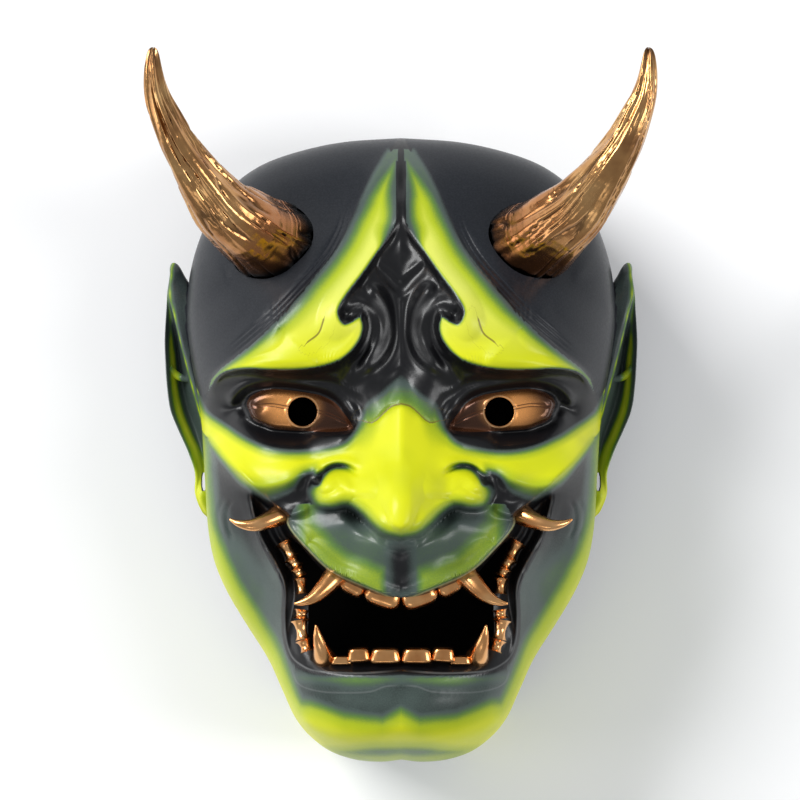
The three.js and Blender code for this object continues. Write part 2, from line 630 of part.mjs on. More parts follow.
// Teeth: blocks on the gums, three pairs of fangs, and a jointed row up each side
const UPPER_TEETH = [[6.7, -70, 13, 11.5], [17.4, -67.5, 8.6, 9.5]];
const LOWER_TEETH = [[5.8, -95, 11.4, 7.4], [16.4, -94.6, 9.4, 7]];
const TOOTH_FACE = 91;
const FANGS = [
  [[40, -39.5, 82], [43, -41, 86], [48.5, -41.5, 90], [54.5, -43.5, 91.5], [60.5, -44, 90.5], [64, -43, 89]],
  [[20, -60, 90], [25.5, -64, 92], [29.5, -68.5, 95], [34, -72, 97], [39.5, -74, 97]],
  [[29, -101, 84], [29.5, -96, 86], [31, -88.5, 90], [32, -82, 92]],
];
const SIDE_TEETH = [[44, -54, 77], [42, -59, 78], [39.5, -66, 79], [38.5, -73.5, 80], [37.5, -81, 81],
  [36.5, -88.5, 82], [35.5, -93, 83]];

function block([x, y, width, height]) {
  const tooth = new THREE.SphereGeometry(1, 8, 5);
  const place = placed(x, y, TOOTH_FACE);
  const swell = (v, half) => Math.sign(v) * Math.abs(v) ** 0.6 * half;
  const position = tooth.attributes.position;
  for (let i = 0; i < position.count; i += 1) {
    const px = swell(position.getX(i), (width * ACROSS) / 2);
    const py = swell(position.getY(i), (height * TALL) / 2);
    const pz = swell(position.getZ(i), TOOTH_DEPTH / 2) - TOOTH_DEPTH / 2;
    position.setXYZ(i, place.x + px, place.y + py, place.z + pz);
  }
  return toSolid(tooth);
}

function fang(points) {
  const radius = (share) => (FANG_DIAMETER / 2) * (1 - 0.85 * share ** 1.3);
  return toSolid(taper(points.map((p) => placed(...p)), radius, 6, 4));
}

function sideTeeth() {
  const knots = 6;
  const radius = (share) => (SIDE_TOOTH_DIAMETER / 2) * (1 + 0.3 * Math.cos(share * knots * 2 * Math.PI));
  return toSolid(taper(SIDE_TEETH.map((p) => placed(...p)), radius, 6, 2 * knots));
}

function shell() {
  const right = [...UPPER_TEETH, ...LOWER_TEETH].map(block);
  right.push(...FANGS.map(fang), sideTeeth());
  let solid = outer.add(ear()).add(mirrored(ear()));
  solid = solid.subtract(earSlit()).subtract(mirrored(earSlit()));
  solid = solid.subtract(hornSocket()).subtract(mirrored(hornSocket()));
  solid = solid.subtract(inner).subtract(mouthCut());
  solid = solid.subtract(pupilCut()).subtract(mirrored(pupilCut()));
  right.forEach((tooth) => {
    solid = solid.add(tooth).add(mirrored(tooth));
  });
  return solid;
}

const lacquer = new THREE.MeshStandardMaterial({ color: 0xb4cf2b, roughness: 0.35, metalness: 0 });
const bronze = new THREE.MeshStandardMaterial({ color: 0x9a6a33, roughness: 0.3, metalness: 0.9 });

const group = new THREE.Group();
group.add(toMesh(shell(), 'mask_shell', lacquer));
group.add(toMesh(mirrored(horn()), 'horn_left', bronze));
group.add(toMesh(horn(), 'horn_right', bronze));

// The origin lies on the floor under the middle of the whole mask, horns included
const box = new THREE.Box3().setFromObject(group);
group.position.y = -(box.min.y + box.max.y) / 2;

export default group;
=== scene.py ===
import json
import math
import bpy
import bmesh
import numpy as np
from mathutils import Matrix, Vector
from mathutils.bvhtree import BVHTree

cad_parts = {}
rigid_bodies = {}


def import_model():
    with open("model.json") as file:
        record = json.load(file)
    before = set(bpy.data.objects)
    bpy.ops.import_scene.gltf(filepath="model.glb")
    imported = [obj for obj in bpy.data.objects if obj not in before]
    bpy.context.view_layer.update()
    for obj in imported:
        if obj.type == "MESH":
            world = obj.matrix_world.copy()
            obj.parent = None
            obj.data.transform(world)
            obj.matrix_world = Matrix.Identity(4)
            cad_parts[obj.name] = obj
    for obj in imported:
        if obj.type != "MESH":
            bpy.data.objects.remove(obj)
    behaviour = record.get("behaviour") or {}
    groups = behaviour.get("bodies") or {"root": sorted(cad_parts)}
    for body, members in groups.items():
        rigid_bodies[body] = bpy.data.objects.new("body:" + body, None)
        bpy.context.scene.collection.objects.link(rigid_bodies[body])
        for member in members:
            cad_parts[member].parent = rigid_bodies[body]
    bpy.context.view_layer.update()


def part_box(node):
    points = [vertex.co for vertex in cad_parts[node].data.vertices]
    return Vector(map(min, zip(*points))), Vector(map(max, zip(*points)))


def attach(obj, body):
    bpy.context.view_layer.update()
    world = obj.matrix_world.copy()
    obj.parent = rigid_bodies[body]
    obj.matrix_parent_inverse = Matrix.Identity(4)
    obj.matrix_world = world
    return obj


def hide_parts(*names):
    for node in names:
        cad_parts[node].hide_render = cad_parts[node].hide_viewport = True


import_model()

for left_over in [o for o in bpy.data.objects if o.name in ("Cube", "Light", "Camera")]:
    bpy.data.objects.remove(left_over)


# The casting's face. One side of the carving is drawn as lines, in millimetres from a point between
# the brows with y to the crown. It is mirrored and raised as strokes on a swelling shell of resin.

def smooth(t):
    t = np.clip(t, 0.0, 1.0)
    return t * t * (3 - 2 * t)


def curve(points, closed=False, steps=8):
    p = np.array(points, float)
    p = np.vstack([p[-1], p, p[0], p[1]]) if closed else np.vstack([2 * p[0] - p[1], p, 2 * p[-1] - p[-2]])
    t = (np.arange(steps) / steps)[:, None]
    spans = zip(p, p[1:], p[2:], p[3:])
    rows = [0.5 * (2 * b + (c - a) * t + (2 * a - 5 * b + 4 * c - d) * t ** 2
                   + (3 * b - a - 3 * c + d) * t ** 3) for a, b, c, d in spans]
    return np.vstack(rows + [rows[0][:1] if closed else p[-2]])


def along(stations, at):
    line = curve(stations)
    order = np.argsort(line[:, 0])
    return np.interp(at, line[order, 0], line[order, 1])


def near(line, x, y, reach=1e3):
    """Distance to a line, the side (1 is left of travel) and the share of its length."""
    d, side, share = np.full(x.shape, 1e4), np.ones(x.shape), np.zeros(x.shape)
    lo, hi = line.min(0) - reach, line.max(0) + reach
    close = (x > lo[0]) & (x < hi[0]) & (y > lo[1]) & (y < hi[1])
    px, py = x[close], y[close]
    best, left, part = np.full(px.shape, 1e12), np.ones(px.shape), np.zeros(px.shape)
    way = np.diff(line, axis=0)
    length = np.hypot(way[:, 0], way[:, 1])
    run = np.concatenate([[0], np.cumsum(length)])
    for (ax, ay), (vx, vy), size, start in zip(line, way, length, run):
        if size < 1e-9:
            continue
        qx, qy = px - ax, py - ay
        t = np.clip((qx * vx + qy * vy) / (size * size), 0, 1)
        gap = (qx - t * vx) ** 2 + (qy - t * vy) ** 2
        better = gap < best
        best[better] = gap[better]
        left[better] = np.where(vx * qy[better] - vy * qx[better] >= 0, 1.0, -1.0)
        part[better] = (start + t[better] * size) / run[-1]
    d[close], side[close], share[close] = np.sqrt(best), left, part
    return d, side, share


def inside(outline, x, y, reach=1e3):
    """Depth inside a closed outline, negative outside."""
    line = np.vstack([outline, outline[:1]])
    d = near(line, x, y, reach)[0]
    within = np.zeros(x.shape, bool)
    for (ax, ay), (bx, by) in zip(line, line[1:]):
        if ay != by:
            within ^= ((ay > y) != (by > y)) & (x < (bx - ax) * (y - ay) / (by - ay) + ax)
    return np.where(within, d, -d)


def ends(share, first, last):
    start = smooth(share / first) if first > 0 else 1.0
    stop = smooth((1 - share) / last) if last > 0 else 1.0
    return start * stop


def ledge(x, y, line, height, soft, sharp, first=0.2, last=0.2):
    d, side, share = near(line, x, y, max(soft, np.max(sharp)))
    up = (1 - np.clip(d / soft, 0, 1)) ** 2
    return height * ends(share, first, last) * np.where(side < 0, up, 1 - smooth(d / sharp))


def groove(x, y, line, depth, width, first=0.2, last=0.2):
    d, _, share = near(line, x, y, width)
    return -depth * ends(share, first, last) * (1 - smooth(d / width))


def roll(x, y, line, height, width, first=0.2, last=0.2):
    d, _, share = near(line, x, y, width)
    fade = ends(share, first, last)
    return height * fade * (1 - np.clip(d / (width * (0.35 + 0.65 * fade)), 0, 1) ** 2) ** 0.75


def mound(x, y, cx, cy, rx, ry, height, turn=0.0):
    c, s = math.cos(math.radians(turn)), math.sin(math.radians(turn))
    u = ((x - cx) * c + (y - cy) * s) / rx
    v = (-(x - cx) * s + (y - cy) * c) / ry
    return height * np.clip(1 - (u * u + v * v), 0, 1) ** 2


def blend(a, b, width):
    h = np.clip(0.5 + 0.5 * (a - b) / width, 0, 1)
    return b + (a - b) * h + width * h * (1 - h)


CENTRE_Y = -17.0
RIM = 46.0
WALL = 4.0
OUTLINE = curve([(0, 102), (21.5, 100.5), (38.5, 97), (52.5, 92), (63, 85), (71, 76.5), (76.5, 64.5),
                 (80, 53), (81.6, 41), (81.5, 28), (79.5, 14), (77, 1), (75.8, -11.5), (75, -25), (74.3, -40),
                 (73, -52), (70.5, -62), (65.5, -73), (58, -85.5), (50.5, -97.5), (45, -109.5), (40.5, -119),
                 (35, -126), (27, -132), (17.5, -135.2), (8, -136), (0, -135.2)])
MIDLINE = [(-140, 92), (-120, 95), (-100, 94), (-80, 94), (-60, 95), (-40, 96), (0, 96), (40, 97), (60, 96),
           (80, 94), (110, 90)]
SQUARENESS = [(-140, 5.5), (-110, 4.5), (-80, 3.4), (-50, 2.8), (-10, 2.5), (40, 2.4), (110, 2.3)]
WING_EDGE = np.vstack([
    curve([(1, 97.5), (2, 84), (1.5, 71), (3.5, 64.5), (8.5, 57.5), (14, 49.5), (20, 41.5), (23, 36.5),
           (23, 33), (21, 30.5), (17.5, 32), (15, 33.8)])[:-1],
    curve([(15, 33.8), (14, 29), (15.5, 24), (20, 18.5), (25.5, 15.5), (34, 13.5), (46.5, 13), (58, 13.5),
           (65.5, 12.5), (69.5, 10), (72.5, 5.5)])])
HAIR_LINE = curve([(73, 5.5), (71.5, 10), (67, 14.5), (56.5, 22.5), (44, 34), (34, 46), (23.5, 59.5), (18, 70),
                   (13, 80.5), (8.5, 89.5), (4.5, 96.5)])
WING = np.vstack([WING_EDGE, HAIR_LINE])
WING_RISE = [(0, 0), (12, 7.5), (22, 7), (36, 5.5), (60, 4.5), (84, 2.5), (97, 0.3)]
WING_DASH = curve([(28.8, 32.3), (30.7, 27), (34.7, 23.7)])
STRAND = curve([(22, 74.5), (24, 66.5), (29.5, 56.5), (38, 46.5), (48, 36), (58.5, 27), (67.5, 19.5)])
STRAND_STEPS = (0.0, 1.7, 3.3)
CURL = curve([(14.5, 45.5), (10.5, 43.5), (6.5, 38), (5, 32), (5, 25), (8, 18.5), (12.5, 14.5), (18.5, 10.5)])
HOOK = curve([(20.6, 33.0), (20, 36.1), (17.3, 38.5), (13.9, 38), (10.9, 35.2), (9.3, 31.4), (9.2, 27.5),
              (10.4, 22.7), (13, 18.0), (17, 14.8)])
LEAF = curve([(17, 3.7), (11.2, 5.4), (6.7, 8.8), (3, 12.6)])
SPIKE = curve([(0, 84), (0, 70), (0, 58)])
CREASE = curve([(0, 44), (0, 30), (0, 14)])
CHEVRON = curve([(9, 54), (4.5, 50.5), (0, 46.5)])
BRIDGE = curve([(0, 9.5), (3.5, 6), (8, 3), (13, 0.5), (14.5, -2)])
SCALLOP = curve([(14, -6), (11, -6.5), (8.5, -5), (6.5, -3), (3.5, -0.5), (0, 0.5)])
NOSE_RIDGE = [(-55, 112), (-49, 120), (-44, 123), (-38, 121.5), (-30, 117), (-20, 110.5), (-10, 105), (0, 100),
              (6, 96), (12, 92), (22, 84)]
NOSE_SLOPE = [(-55, 1), (-44, 0.85), (-30, 0.6), (-8, 0.62), (6, 0.78), (22, 1.2)]
NOSE_UNDER = curve([(36, -22), (35, -29), (34.2, -34), (31.5, -38), (26, -38.8), (20, -38), (15.5, -40.8),
                    (11.5, -44.8), (6, -48.4), (0, -49.8)])
NOSE_CREST = curve([(0, 6), (0, -20), (0, -44)])
SNARL = curve([(33, -27), (31, -25), (27.5, -22.4), (23.5, -21.4), (19, -22.3), (15.5, -25.5)])
ALA_CREASE = curve([(31, -28.5), (27.5, -24.2), (23.5, -22.8), (19, -23.7), (15.5, -27)])
ALA_RIM = curve([(33, -34), (28, -32.2), (21, -32.6), (15, -36.5), (9, -42.5), (3, -45.5), (0, -46)])
CHEEK_CREST = curve([(73, -13), (68.5, -18.5), (63, -24.5), (58, -28.5), (51.5, -30), (44.5, -29), (38, -26),
                     (32, -24.5)])
CHEEK_EDGE = curve([(74, -12), (66, -20.5), (58, -27.5), (51.5, -35.5), (46, -39.5), (41.5, -41), (37.5, -40),
                    (33, -37)])
MUZZLE = curve([(41.5, -41), (42.6, -43.2), (42, -45.5), (39.5, -49), (34, -55), (29.5, -59.5), (24.5, -63.3),
                (17, -66.6), (10.5, -69.2), (4.5, -71.6), (0, -72.8)])
LIP = curve([(0, -99.5), (13.5, -100.5), (23, -100.5), (32, -100), (37.5, -98), (41.5, -94.5), (43.5, -87.5),
             (43.8, -79), (43.5, -70), (45, -64), (49, -56.5), (53, -49), (56.5, -37), (57, -30)])
LOWER_LIP = curve([(41.5, -98.5), (39, -105), (32, -107.5), (23, -108), (12, -107.5), (6, -105.5), (0, -105)])
CHIN = curve([(41, -110), (36, -118), (30.5, -122), (23, -124), (15.5, -124.5), (8, -123.5), (0, -122)])
JAW_VALLEY = curve([(63, -38), (60, -53), (55, -68), (51, -81.5), (47, -94.5), (43, -106)])
WRINKLE = curve([(66.5, -35), (69, -39.5), (69, -45.5), (66.5, -52)])
GUM = [(-104, 86), (-100, 86), (-92, 81), (-80, 77), (-60, 76), (-40, 78), (-30, 82), (-20, 84)]
MOUTH = np.vstack([[(-25, -99.5)], LIP, MUZZLE, [(-25, -72.8)]])
EYE = curve([(58, 1), (55.5, 4), (49.5, 6), (42, 5.5), (35, 4.5), (30, 3.5), (25, 1), (21.5, -3), (19, -6.5),
             (18.5, -9), (25, -10), (35, -9.8), (47, -9), (51.5, -7.5), (55.5, -5.5), (57.3, -2)], closed=True)
UPPER_LID = curve([(64, -1.5), (63.5, 3), (60, 6.2), (55.5, 8), (48.5, 8.7), (42, 8), (35, 7), (27.5, 5.7),
                   (23, 3), (18, -2), (15.5, -7)])
LOWER_LID = curve([(61, 0), (59.5, -6), (56, -10.5), (51, -13), (46, -13.7), (37, -14), (27.5, -13), (21, -11.2),
                   (16.5, -9)])
EYE_LINE = curve([(56.5, -0.5), (49, 0), (42.5, -1), (31, -2.5), (25, -4.5), (21, -6.5)])
PUPIL = (37.0, -2.5)
PUPIL_RADIUS = 5.5
REACH_ANGLE = np.arctan2(OUTLINE[:, 0], OUTLINE[:, 1] - CENTRE_Y)
REACH = np.hypot(OUTLINE[:, 0], OUTLINE[:, 1] - CENTRE_Y)


def reach_at(angle):
    return np.interp(np.abs(angle), REACH_ANGLE, REACH)


def wings(x, y):
    edge, hair = near(WING_EDGE, x, y, 60)[0], near(HAIR_LINE, x, y, 60)
    on = inside(WING, x, y, 60) > 0
    rise = along(WING_RISE, y) * smooth((78 - x) / 12)
    plateau = np.where(on, (hair[0] / (edge + hair[0] + 1e-6)) ** 0.8, 1 - smooth(edge / 2.2))
    rim = np.where(on, 1 - smooth(hair[0] / 7), 1 - smooth(hair[0] / 2.2)) * ends(hair[2], 0.08, 0.08)
    return rise * plateau + 1.3 * rim


def nose(x, y, z):
    roof = along(NOSE_RIDGE, y) - along(NOSE_SLOPE, y) * (np.hypot(x, 1.3) - 1.3)
    tip = 125 - 0.05 * x ** 2 - 0.045 * (y + 41) ** 2
    spread = ((x - 24.0) / 10.2) ** 2 + ((y + 33.0) / 9.4) ** 2
    ala = np.where(spread < 1, 92 + 17 * np.sqrt(np.clip(1 - spread, 0, 1)), 0)
    form = blend(blend(roof, tip, 4.0), ala, 2.5)
    d, side, _ = near(NOSE_UNDER, x, y)
    on = smooth(0.5 - side * d / 2.4) * smooth((24 - y) / 8) * smooth((y + 56) / 3) * smooth((38 - x) / 5)
    return z + (blend(z, form, 3.0) - z) * on


def relief(x, y, share):
    """Height of the face. The share is 0 at the centre and 1 at the rim."""
    x = np.abs(x)
    swell = np.sqrt(np.clip(1 - np.clip(share, 0, 1) ** along(SQUARENESS, y), 0, 1))
    z = RIM + (along(MIDLINE, y) - RIM) * swell
    for swelling in ((40, -3, 38, 22, -15), (54, -20, 34, 22, 8, 14), (0, -56, 56, 32, 12), (0, -119, 52, 28, 11),
                     (44, 28, 54, 27, 8, -30), (0, 28, 18, 48, -5)):
        z += mound(x, y, *swelling)
    z += wings(x, y)
    z += roll(x, y, CURL, 4.2, 3.9, 0.12, 0.2) + roll(x, y, HOOK, 3.6, 2.8, 0.1, 0.3)
    z += roll(x, y, LEAF, 3.6, 3.6, 0.35, 0.3) + roll(x, y, SPIKE, 2.0, 2.2, 0.3, 0.3)
    z += ledge(x, y, CHEVRON, 2.6, 12, 1.0, 0.1, 0.0) + ledge(x, y, BRIDGE, 2.0, 9, 1.5, 0.0, 0.2)
    z += roll(x, y, CREASE, 0.8, 1.6, 0.2, 0.2)
    z = nose(x, y, z)
    z += ledge(x, y, SNARL, 2.2, 7, 1.0, 0.15, 0.2) + groove(x, y, ALA_CREASE, 4.0, 1.9, 0.1, 0.25)
    z += roll(x, y, ALA_RIM, 0.7, 4.0, 0.3, 0.0) + mound(x, y, 15.5, -43, 10, 4.5, -7, 38)
    z += ledge(x, y, CHEEK_CREST, 3.8, 12, 5, 0.1, 0.25) + ledge(x, y, CHEEK_EDGE, 5.0, 9, 2.0, 0.4, 0.1)
    under_lip = 1.4 + 2.6 * smooth((22 - x) / 22)
    z += ledge(x, y, MUZZLE, 3.0, 12, under_lip, 0.1, 0.0) + mound(x, y, 0, -62, 10, 16, -1.6)
    z += (np.minimum(along(GUM, y), z) - z) * smooth(inside(MOUTH, x, y, 14) / 3.0)
    z += ledge(x, y, LIP, 3.0, 8, 1.6, 0.0, 0.15) + ledge(x, y, LOWER_LIP, 2.2, 5, 2.0, 0.1, 0.0)
    z += ledge(x, y, CHIN, 4.2, 9, 6, 0.25, 0.0) + groove(x, y, JAW_VALLEY, 5, 14, 0.2, 0.3)
    z += roll(x, y, UPPER_LID, 3.4, 2.7, 0.08, 0.12) + roll(x, y, LOWER_LID, 3.4, 5.4, 0.1, 0.15)
    ball = 82 + 7 * np.sqrt(np.clip(1 - ((x - 38) / 27) ** 2 - ((y + 2.5) / 14) ** 2, 0, 1))
    z += (ball - z) * smooth(0.5 + inside(EYE, x, y, 12) / 2.0)
    return z


def fine_cuts(x, y):
    x = np.abs(x)
    z = groove(x, y, EYE_LINE, 0.3, 0.75, 0.05, 0.1) + groove(x, y, WING_DASH, 0.35, 0.8, 0.3, 0.3)
    z += groove(x, y, SCALLOP, 0.7, 1.1, 0.1, 0.0)
    for aside in (0, 3.4):
        z += groove(x + aside, y, WRINKLE, 0.6, 1.2, 0.2, 0.2)
    d, side, share = near(STRAND, x, y, 300)
    for middle in STRAND_STEPS:
        z -= 0.35 * ends(share, 0.25, 0.25) * (1 - smooth(np.abs(-d * side - middle) / 0.85))
    from_pupil = np.hypot(x - PUPIL[0], y - PUPIL[1])
    return z + 0.3 * (1 - smooth(np.abs(from_pupil - PUPIL_RADIUS - 0.5) / 0.9))


# The drawing's origin lies a little below the middle of the whole mask, horns included
shift_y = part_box("mask_shell")[0][1] * 1000 + 136.0


def blur(field, times):
    for _ in range(times):
        padded = np.pad(field, [(1, 1), (1, 1)] + [(0, 0)] * (field.ndim - 2), mode="edge")
        middle = padded[1:-1, 1:-1]
        beside = padded[:-2, 1:-1] + padded[2:, 1:-1] + padded[1:-1, :-2] + padded[1:-1, 2:]
        field = (4 * middle + 2 * beside
                 + padded[:-2, :-2] + padded[:-2, 2:] + padded[2:, :-2] + padded[2:, 2:]) / 16
    return field


def square_rings(cells, gather, rim_share):
    """A square grid bent to the outline: angle and share of the way out, rings crowding at the rim."""
    u, v = np.meshgrid(np.linspace(-1, 1, cells + 1), np.linspace(-1, 1, cells + 1))
    r = np.maximum(np.abs(u), np.abs(v))
    across = np.abs(u) >= np.abs(v)
    quarter = math.pi / 4
    with np.errstate(divide="ignore", invalid="ignore"):
        angle = np.where(across, np.where(u > 0, 2 * quarter, -2 * quarter) - quarter * v / u,
                         np.where(v > 0, 0, 4 * quarter) + quarter * u / v)
    angle = np.where(r == 0, 0.0, angle)
    angle = (angle + math.pi) % (2 * math.pi) - math.pi
    scale = 1 / (rim_share ** gather + gather * rim_share ** (gather - 1) * (1 - rim_share) / 2)
    slope = scale * gather * rim_share ** (gather - 1)
    share = np.where(r < rim_share, scale * r ** gather, 1 - slope / (2 * (1 - rim_share)) * (1 - r) ** 2)
    return angle, share


def new_piece(name, mesh):
    piece = bpy.data.objects.new(name, mesh)
    bpy.context.scene.collection.objects.link(piece)
    return piece


LEVEL_WITHIN = 0.12


def shell(name, top, cells, side_rings):
    """Closes a face grid with a side wall and a flat foot. Each side ring is a height and a tuck.

    A cell splits along the way that it leans least, a level one as its mirror image does, and one at
    the square's corner towards the middle, so that no triangle lies flat along the rim.
    """
    side = cells + 1
    index = np.arange(side * side).reshape(side, side)
    a, b, c, d = (part.ravel() for part in (index[:-1, :-1], index[:-1, 1:], index[1:, 1:], index[1:, :-1]))
    level = top[..., 2].ravel()
    lean = np.abs(level[a] - level[c]) - np.abs(level[b] - level[d])
    row, column = np.divmod(np.arange(cells * cells), cells)
    down, across = np.minimum(row, cells - 1 - row), np.minimum(column, cells - 1 - column)
    at_corner = (np.abs(down - across) < 3) & (down < cells / 10)
    even = np.where(np.abs(lean) > LEVEL_WITHIN, lean < 0, column < cells / 2)
    even = np.where(at_corner, (row < cells / 2) == (column < cells / 2), even)[:, None]
    first_half = np.where(even, np.stack([a, b, c], 1), np.stack([a, b, d], 1))
    other_half = np.where(even, np.stack([a, c, d], 1), np.stack([b, c, d], 1))
    loop = np.concatenate([index[0, :-1], index[:-1, -1], index[-1, :0:-1], index[:0:-1, 0]])
    points = top.reshape(-1, 3)
    rim = points[loop]
    inward = np.stack([-rim[:, 0], CENTRE_Y - rim[:, 1]], 1)
    inward /= np.hypot(inward[:, 0], inward[:, 1])[:, None]
    faces, above, rows = np.vstack([first_half, other_half]).tolist(), loop, [points]
    start = len(points)
    for height, tuck in side_rings:
        rows.append(np.column_stack([rim[:, :2] + inward * tuck, np.full(len(rim), height)]))
        below = start + np.arange(len(rim))
        faces += [(above[i], below[i], below[i - len(rim) + 1], above[i - len(rim) + 1])
                  for i in range(len(rim))]
        above, start = below, start + len(rim)
    rows.append([[0, CENTRE_Y, side_rings[-1][0]]])
    faces += [(start, above[i - len(rim) + 1], above[i]) for i in range(len(rim))]
    mesh = bpy.data.meshes.new(name)
    placed = (np.vstack(rows) + [0, shift_y, 0]) / 1000
    mesh.from_pydata(placed.tolist(), [], faces)
    mesh.validate()
    return new_piece(name, mesh)


def draw_in(x, y, lines, within):
    """Points within that distance of a line move onto it, so that the edges follow the knife's cuts."""
    hand, half = np.where(x < 0, -1, 1), np.abs(x)
    free = np.ones(x.shape, bool)
    for line in lines:
        d, _, share = near(line, half, y, 2)
        run = np.concatenate([[0], np.cumsum(np.hypot(*np.diff(line, axis=0).T))])
        pull = free & (d < within) & (share > 0) & (share < 1)
        half = np.where(pull, np.interp(share * run[-1], run, line[:, 0]), half)
        y = np.where(pull, np.interp(share * run[-1], run, line[:, 1]), y)
        free &= ~pull
    return half * hand, y


DRAWN_WITHIN = 0.52
# Times a surface is rubbed down, from how many millimetres off the sharp lines, over how many, and how
# wide a share of the way to the rim is eased out
SOFTENING = ((3, -1.0, 1.0, 0.05), (8, 1.0, 2.0, 0.06), (50, 2.5, 4.0, 0.25), (90, 5.0, 5.0, 0.4))


def face_grid(cells, gather, rim_share, crisp):
    """Places and heights on the face. A crisp one is drawn in to its lines, rubbed down and cut."""
    angle, share = square_rings(cells, gather, rim_share)
    reach = share * reach_at(angle)
    x, y = np.sin(angle) * reach, CENTRE_Y + np.cos(angle) * reach
    if crisp:
        closed_eye = np.vstack([EYE, EYE[:1]])
        x, y = draw_in(x, y, (WING_EDGE, LIP, MUZZLE, CHEEK_EDGE, closed_eye, NOSE_UNDER, CURL, CHEVRON,
                              LOWER_LIP, ALA_CREASE), DRAWN_WITHIN)
    z = relief(x, y, share)
    if crisp:
        sharp_lines = (WING_EDGE, NOSE_UNDER, EYE, LIP, MUZZLE, CHEEK_EDGE, ALA_CREASE, HOOK, CURL, UPPER_LID,
                       LOWER_LID, CHEVRON, HAIR_LINE, NOSE_CREST, CHEEK_CREST)
        clear = np.min([near(line, np.abs(x), y, 12)[0] for line in sharp_lines], axis=0)
        # The dip under the nose is rubbed down too, though it runs beside sharp lines
        lip_dip = smooth((8 - np.abs(x)) / 3) * smooth((y + 68) / 3) * smooth((-49 - y) / 3)
        clear = np.maximum(clear, 5 * lip_dip)
        points = np.stack([x, y, z], -1)
        steps = np.abs(np.linspace(-1, 1, cells + 1))
        corner = 1 - smooth(np.abs(steps[:, None] - steps) / 0.06)
        calm = 1 - corner * smooth((share - 0.76) / 0.1)
        for times, start, over, rim in SOFTENING:
            weight = smooth((clear - start) / over) * smooth((0.975 - share) / rim) * calm
            points += (blur(points, times) - points) * weight[..., None]
        x, y, z = np.moveaxis(points, -1, 0)
        z = z + fine_cuts(x, y)
    return x, y, z, angle, share


SIDE = [(46 * (1 - t), 5 * t ** 1.74) for t in (0.12, 0.28, 0.46, 0.66, 0.86, 1.0)]
FACE_CELLS = 272
x, y, z, angle, share = face_grid(FACE_CELLS, 1.18, 0.92, True)
casting = shell("mask_shell_cast", np.stack([x, y, z], -1), FACE_CELLS, SIDE)


# The hollow back. The mould's core follows the face 4 mm below its lowest carving nearby, so the
# wall is even, and it stays plainer than the front. It is cut out of the casting.

CORE_CELLS = 84
CORE_SHOULDER = 43.0
x, y, z, angle, share = face_grid(CORE_CELLS, 1.1, 0.9, False)
lowest = z
for _ in range(3):
    grown = np.pad(lowest, 1, mode="edge")
    rows, columns = z.shape
    lowest = np.minimum.reduce([grown[i:i + rows, j:j + columns] for i in range(3) for j in range(3)])
lowest = np.maximum(np.minimum(blur(lowest, 4), lowest + 1.0) - WALL, CORE_SHOULDER)
# The core's rim stands a wall's thickness inside the face's
inset = 1 - WALL * share / np.maximum(share * reach_at(angle), 1)
x, y = x * inset, CENTRE_Y + (y - CENTRE_Y) * inset
core = shell("core", np.stack([x, y, lowest], -1), CORE_CELLS, SIDE[:-1] + [(-4.0, 5.0)])


def join(piece, other, operation):
    change = piece.modifiers.new("join", "BOOLEAN")
    change.object, change.operation, change.solver = other, operation, "MANIFOLD"
    result = bpy.data.meshes.new_from_object(piece.evaluated_get(bpy.context.evaluated_depsgraph_get()))
    piece.modifiers.remove(change)
    old = piece.data
    piece.data = result
    bpy.data.meshes.remove(old)


def drop(piece):
    mesh = piece.data
    bpy.data.objects.remove(piece)
    bpy.data.meshes.remove(mesh)


# The openings, cut right through the wall once the resin is out of its mould: the mouth between
# the gums, and the two pupils that the wearer looks through.

CUT_FROM_TO = (-5, 140)
HOLE = curve([(0, -72), (8, -71.2), (17, -68.8), (26, -65.5), (33, -58.5), (38.5, -52), (40, -54), (37, -66),
              (35, -75), (35, -88), (32, -93), (26, -95), (15, -95.8), (0, -96)], steps=4)


def closed_piece(name, points, faces, split=False):
    """A piece from points in millimetres and faces, with its faces turned outwards."""
    mesh = bpy.data.meshes.new(name)
    mesh.from_pydata([(px / 1000, (py + shift_y) / 1000, pz / 1000) for px, py, pz in points], [], faces)
    work = bmesh.new()
    work.from_mesh(mesh)
    if split:
        bmesh.ops.triangulate(work, faces=work.faces)
    bmesh.ops.recalc_face_normals(work, faces=work.faces)
    work.to_mesh(mesh)
    work.free()
    return new_piece(name, mesh)


def prism(name, outline):
    count = len(outline)
    points = [(px, py, pz) for pz in CUT_FROM_TO for px, py in outline]
    faces = [tuple(reversed(range(count))), tuple(range(count, 2 * count))]
    faces += [(i, (i + 1) % count, count + (i + 1) % count, count + i) for i in range(count)]
    return closed_piece(name, points, faces, split=True)


around = [2 * math.pi * k / 72 for k in range(72)]
cutters = [prism("mouth", np.vstack([HOLE, HOLE[-2:0:-1] * [-1, 1]]))]
for hand in (1, -1):
    ring = [(hand * PUPIL[0] + PUPIL_RADIUS * math.cos(a), PUPIL[1] + PUPIL_RADIUS * math.sin(a))
            for a in around]
    cutters.append(prism("pupil", ring))


# The ears, cast on the side walls. Each is a cupped leaf: a front blade with a raised edge, a hollow
# with a small bridge, an outer rim that comes round to the lobe, and a slit through at its root.

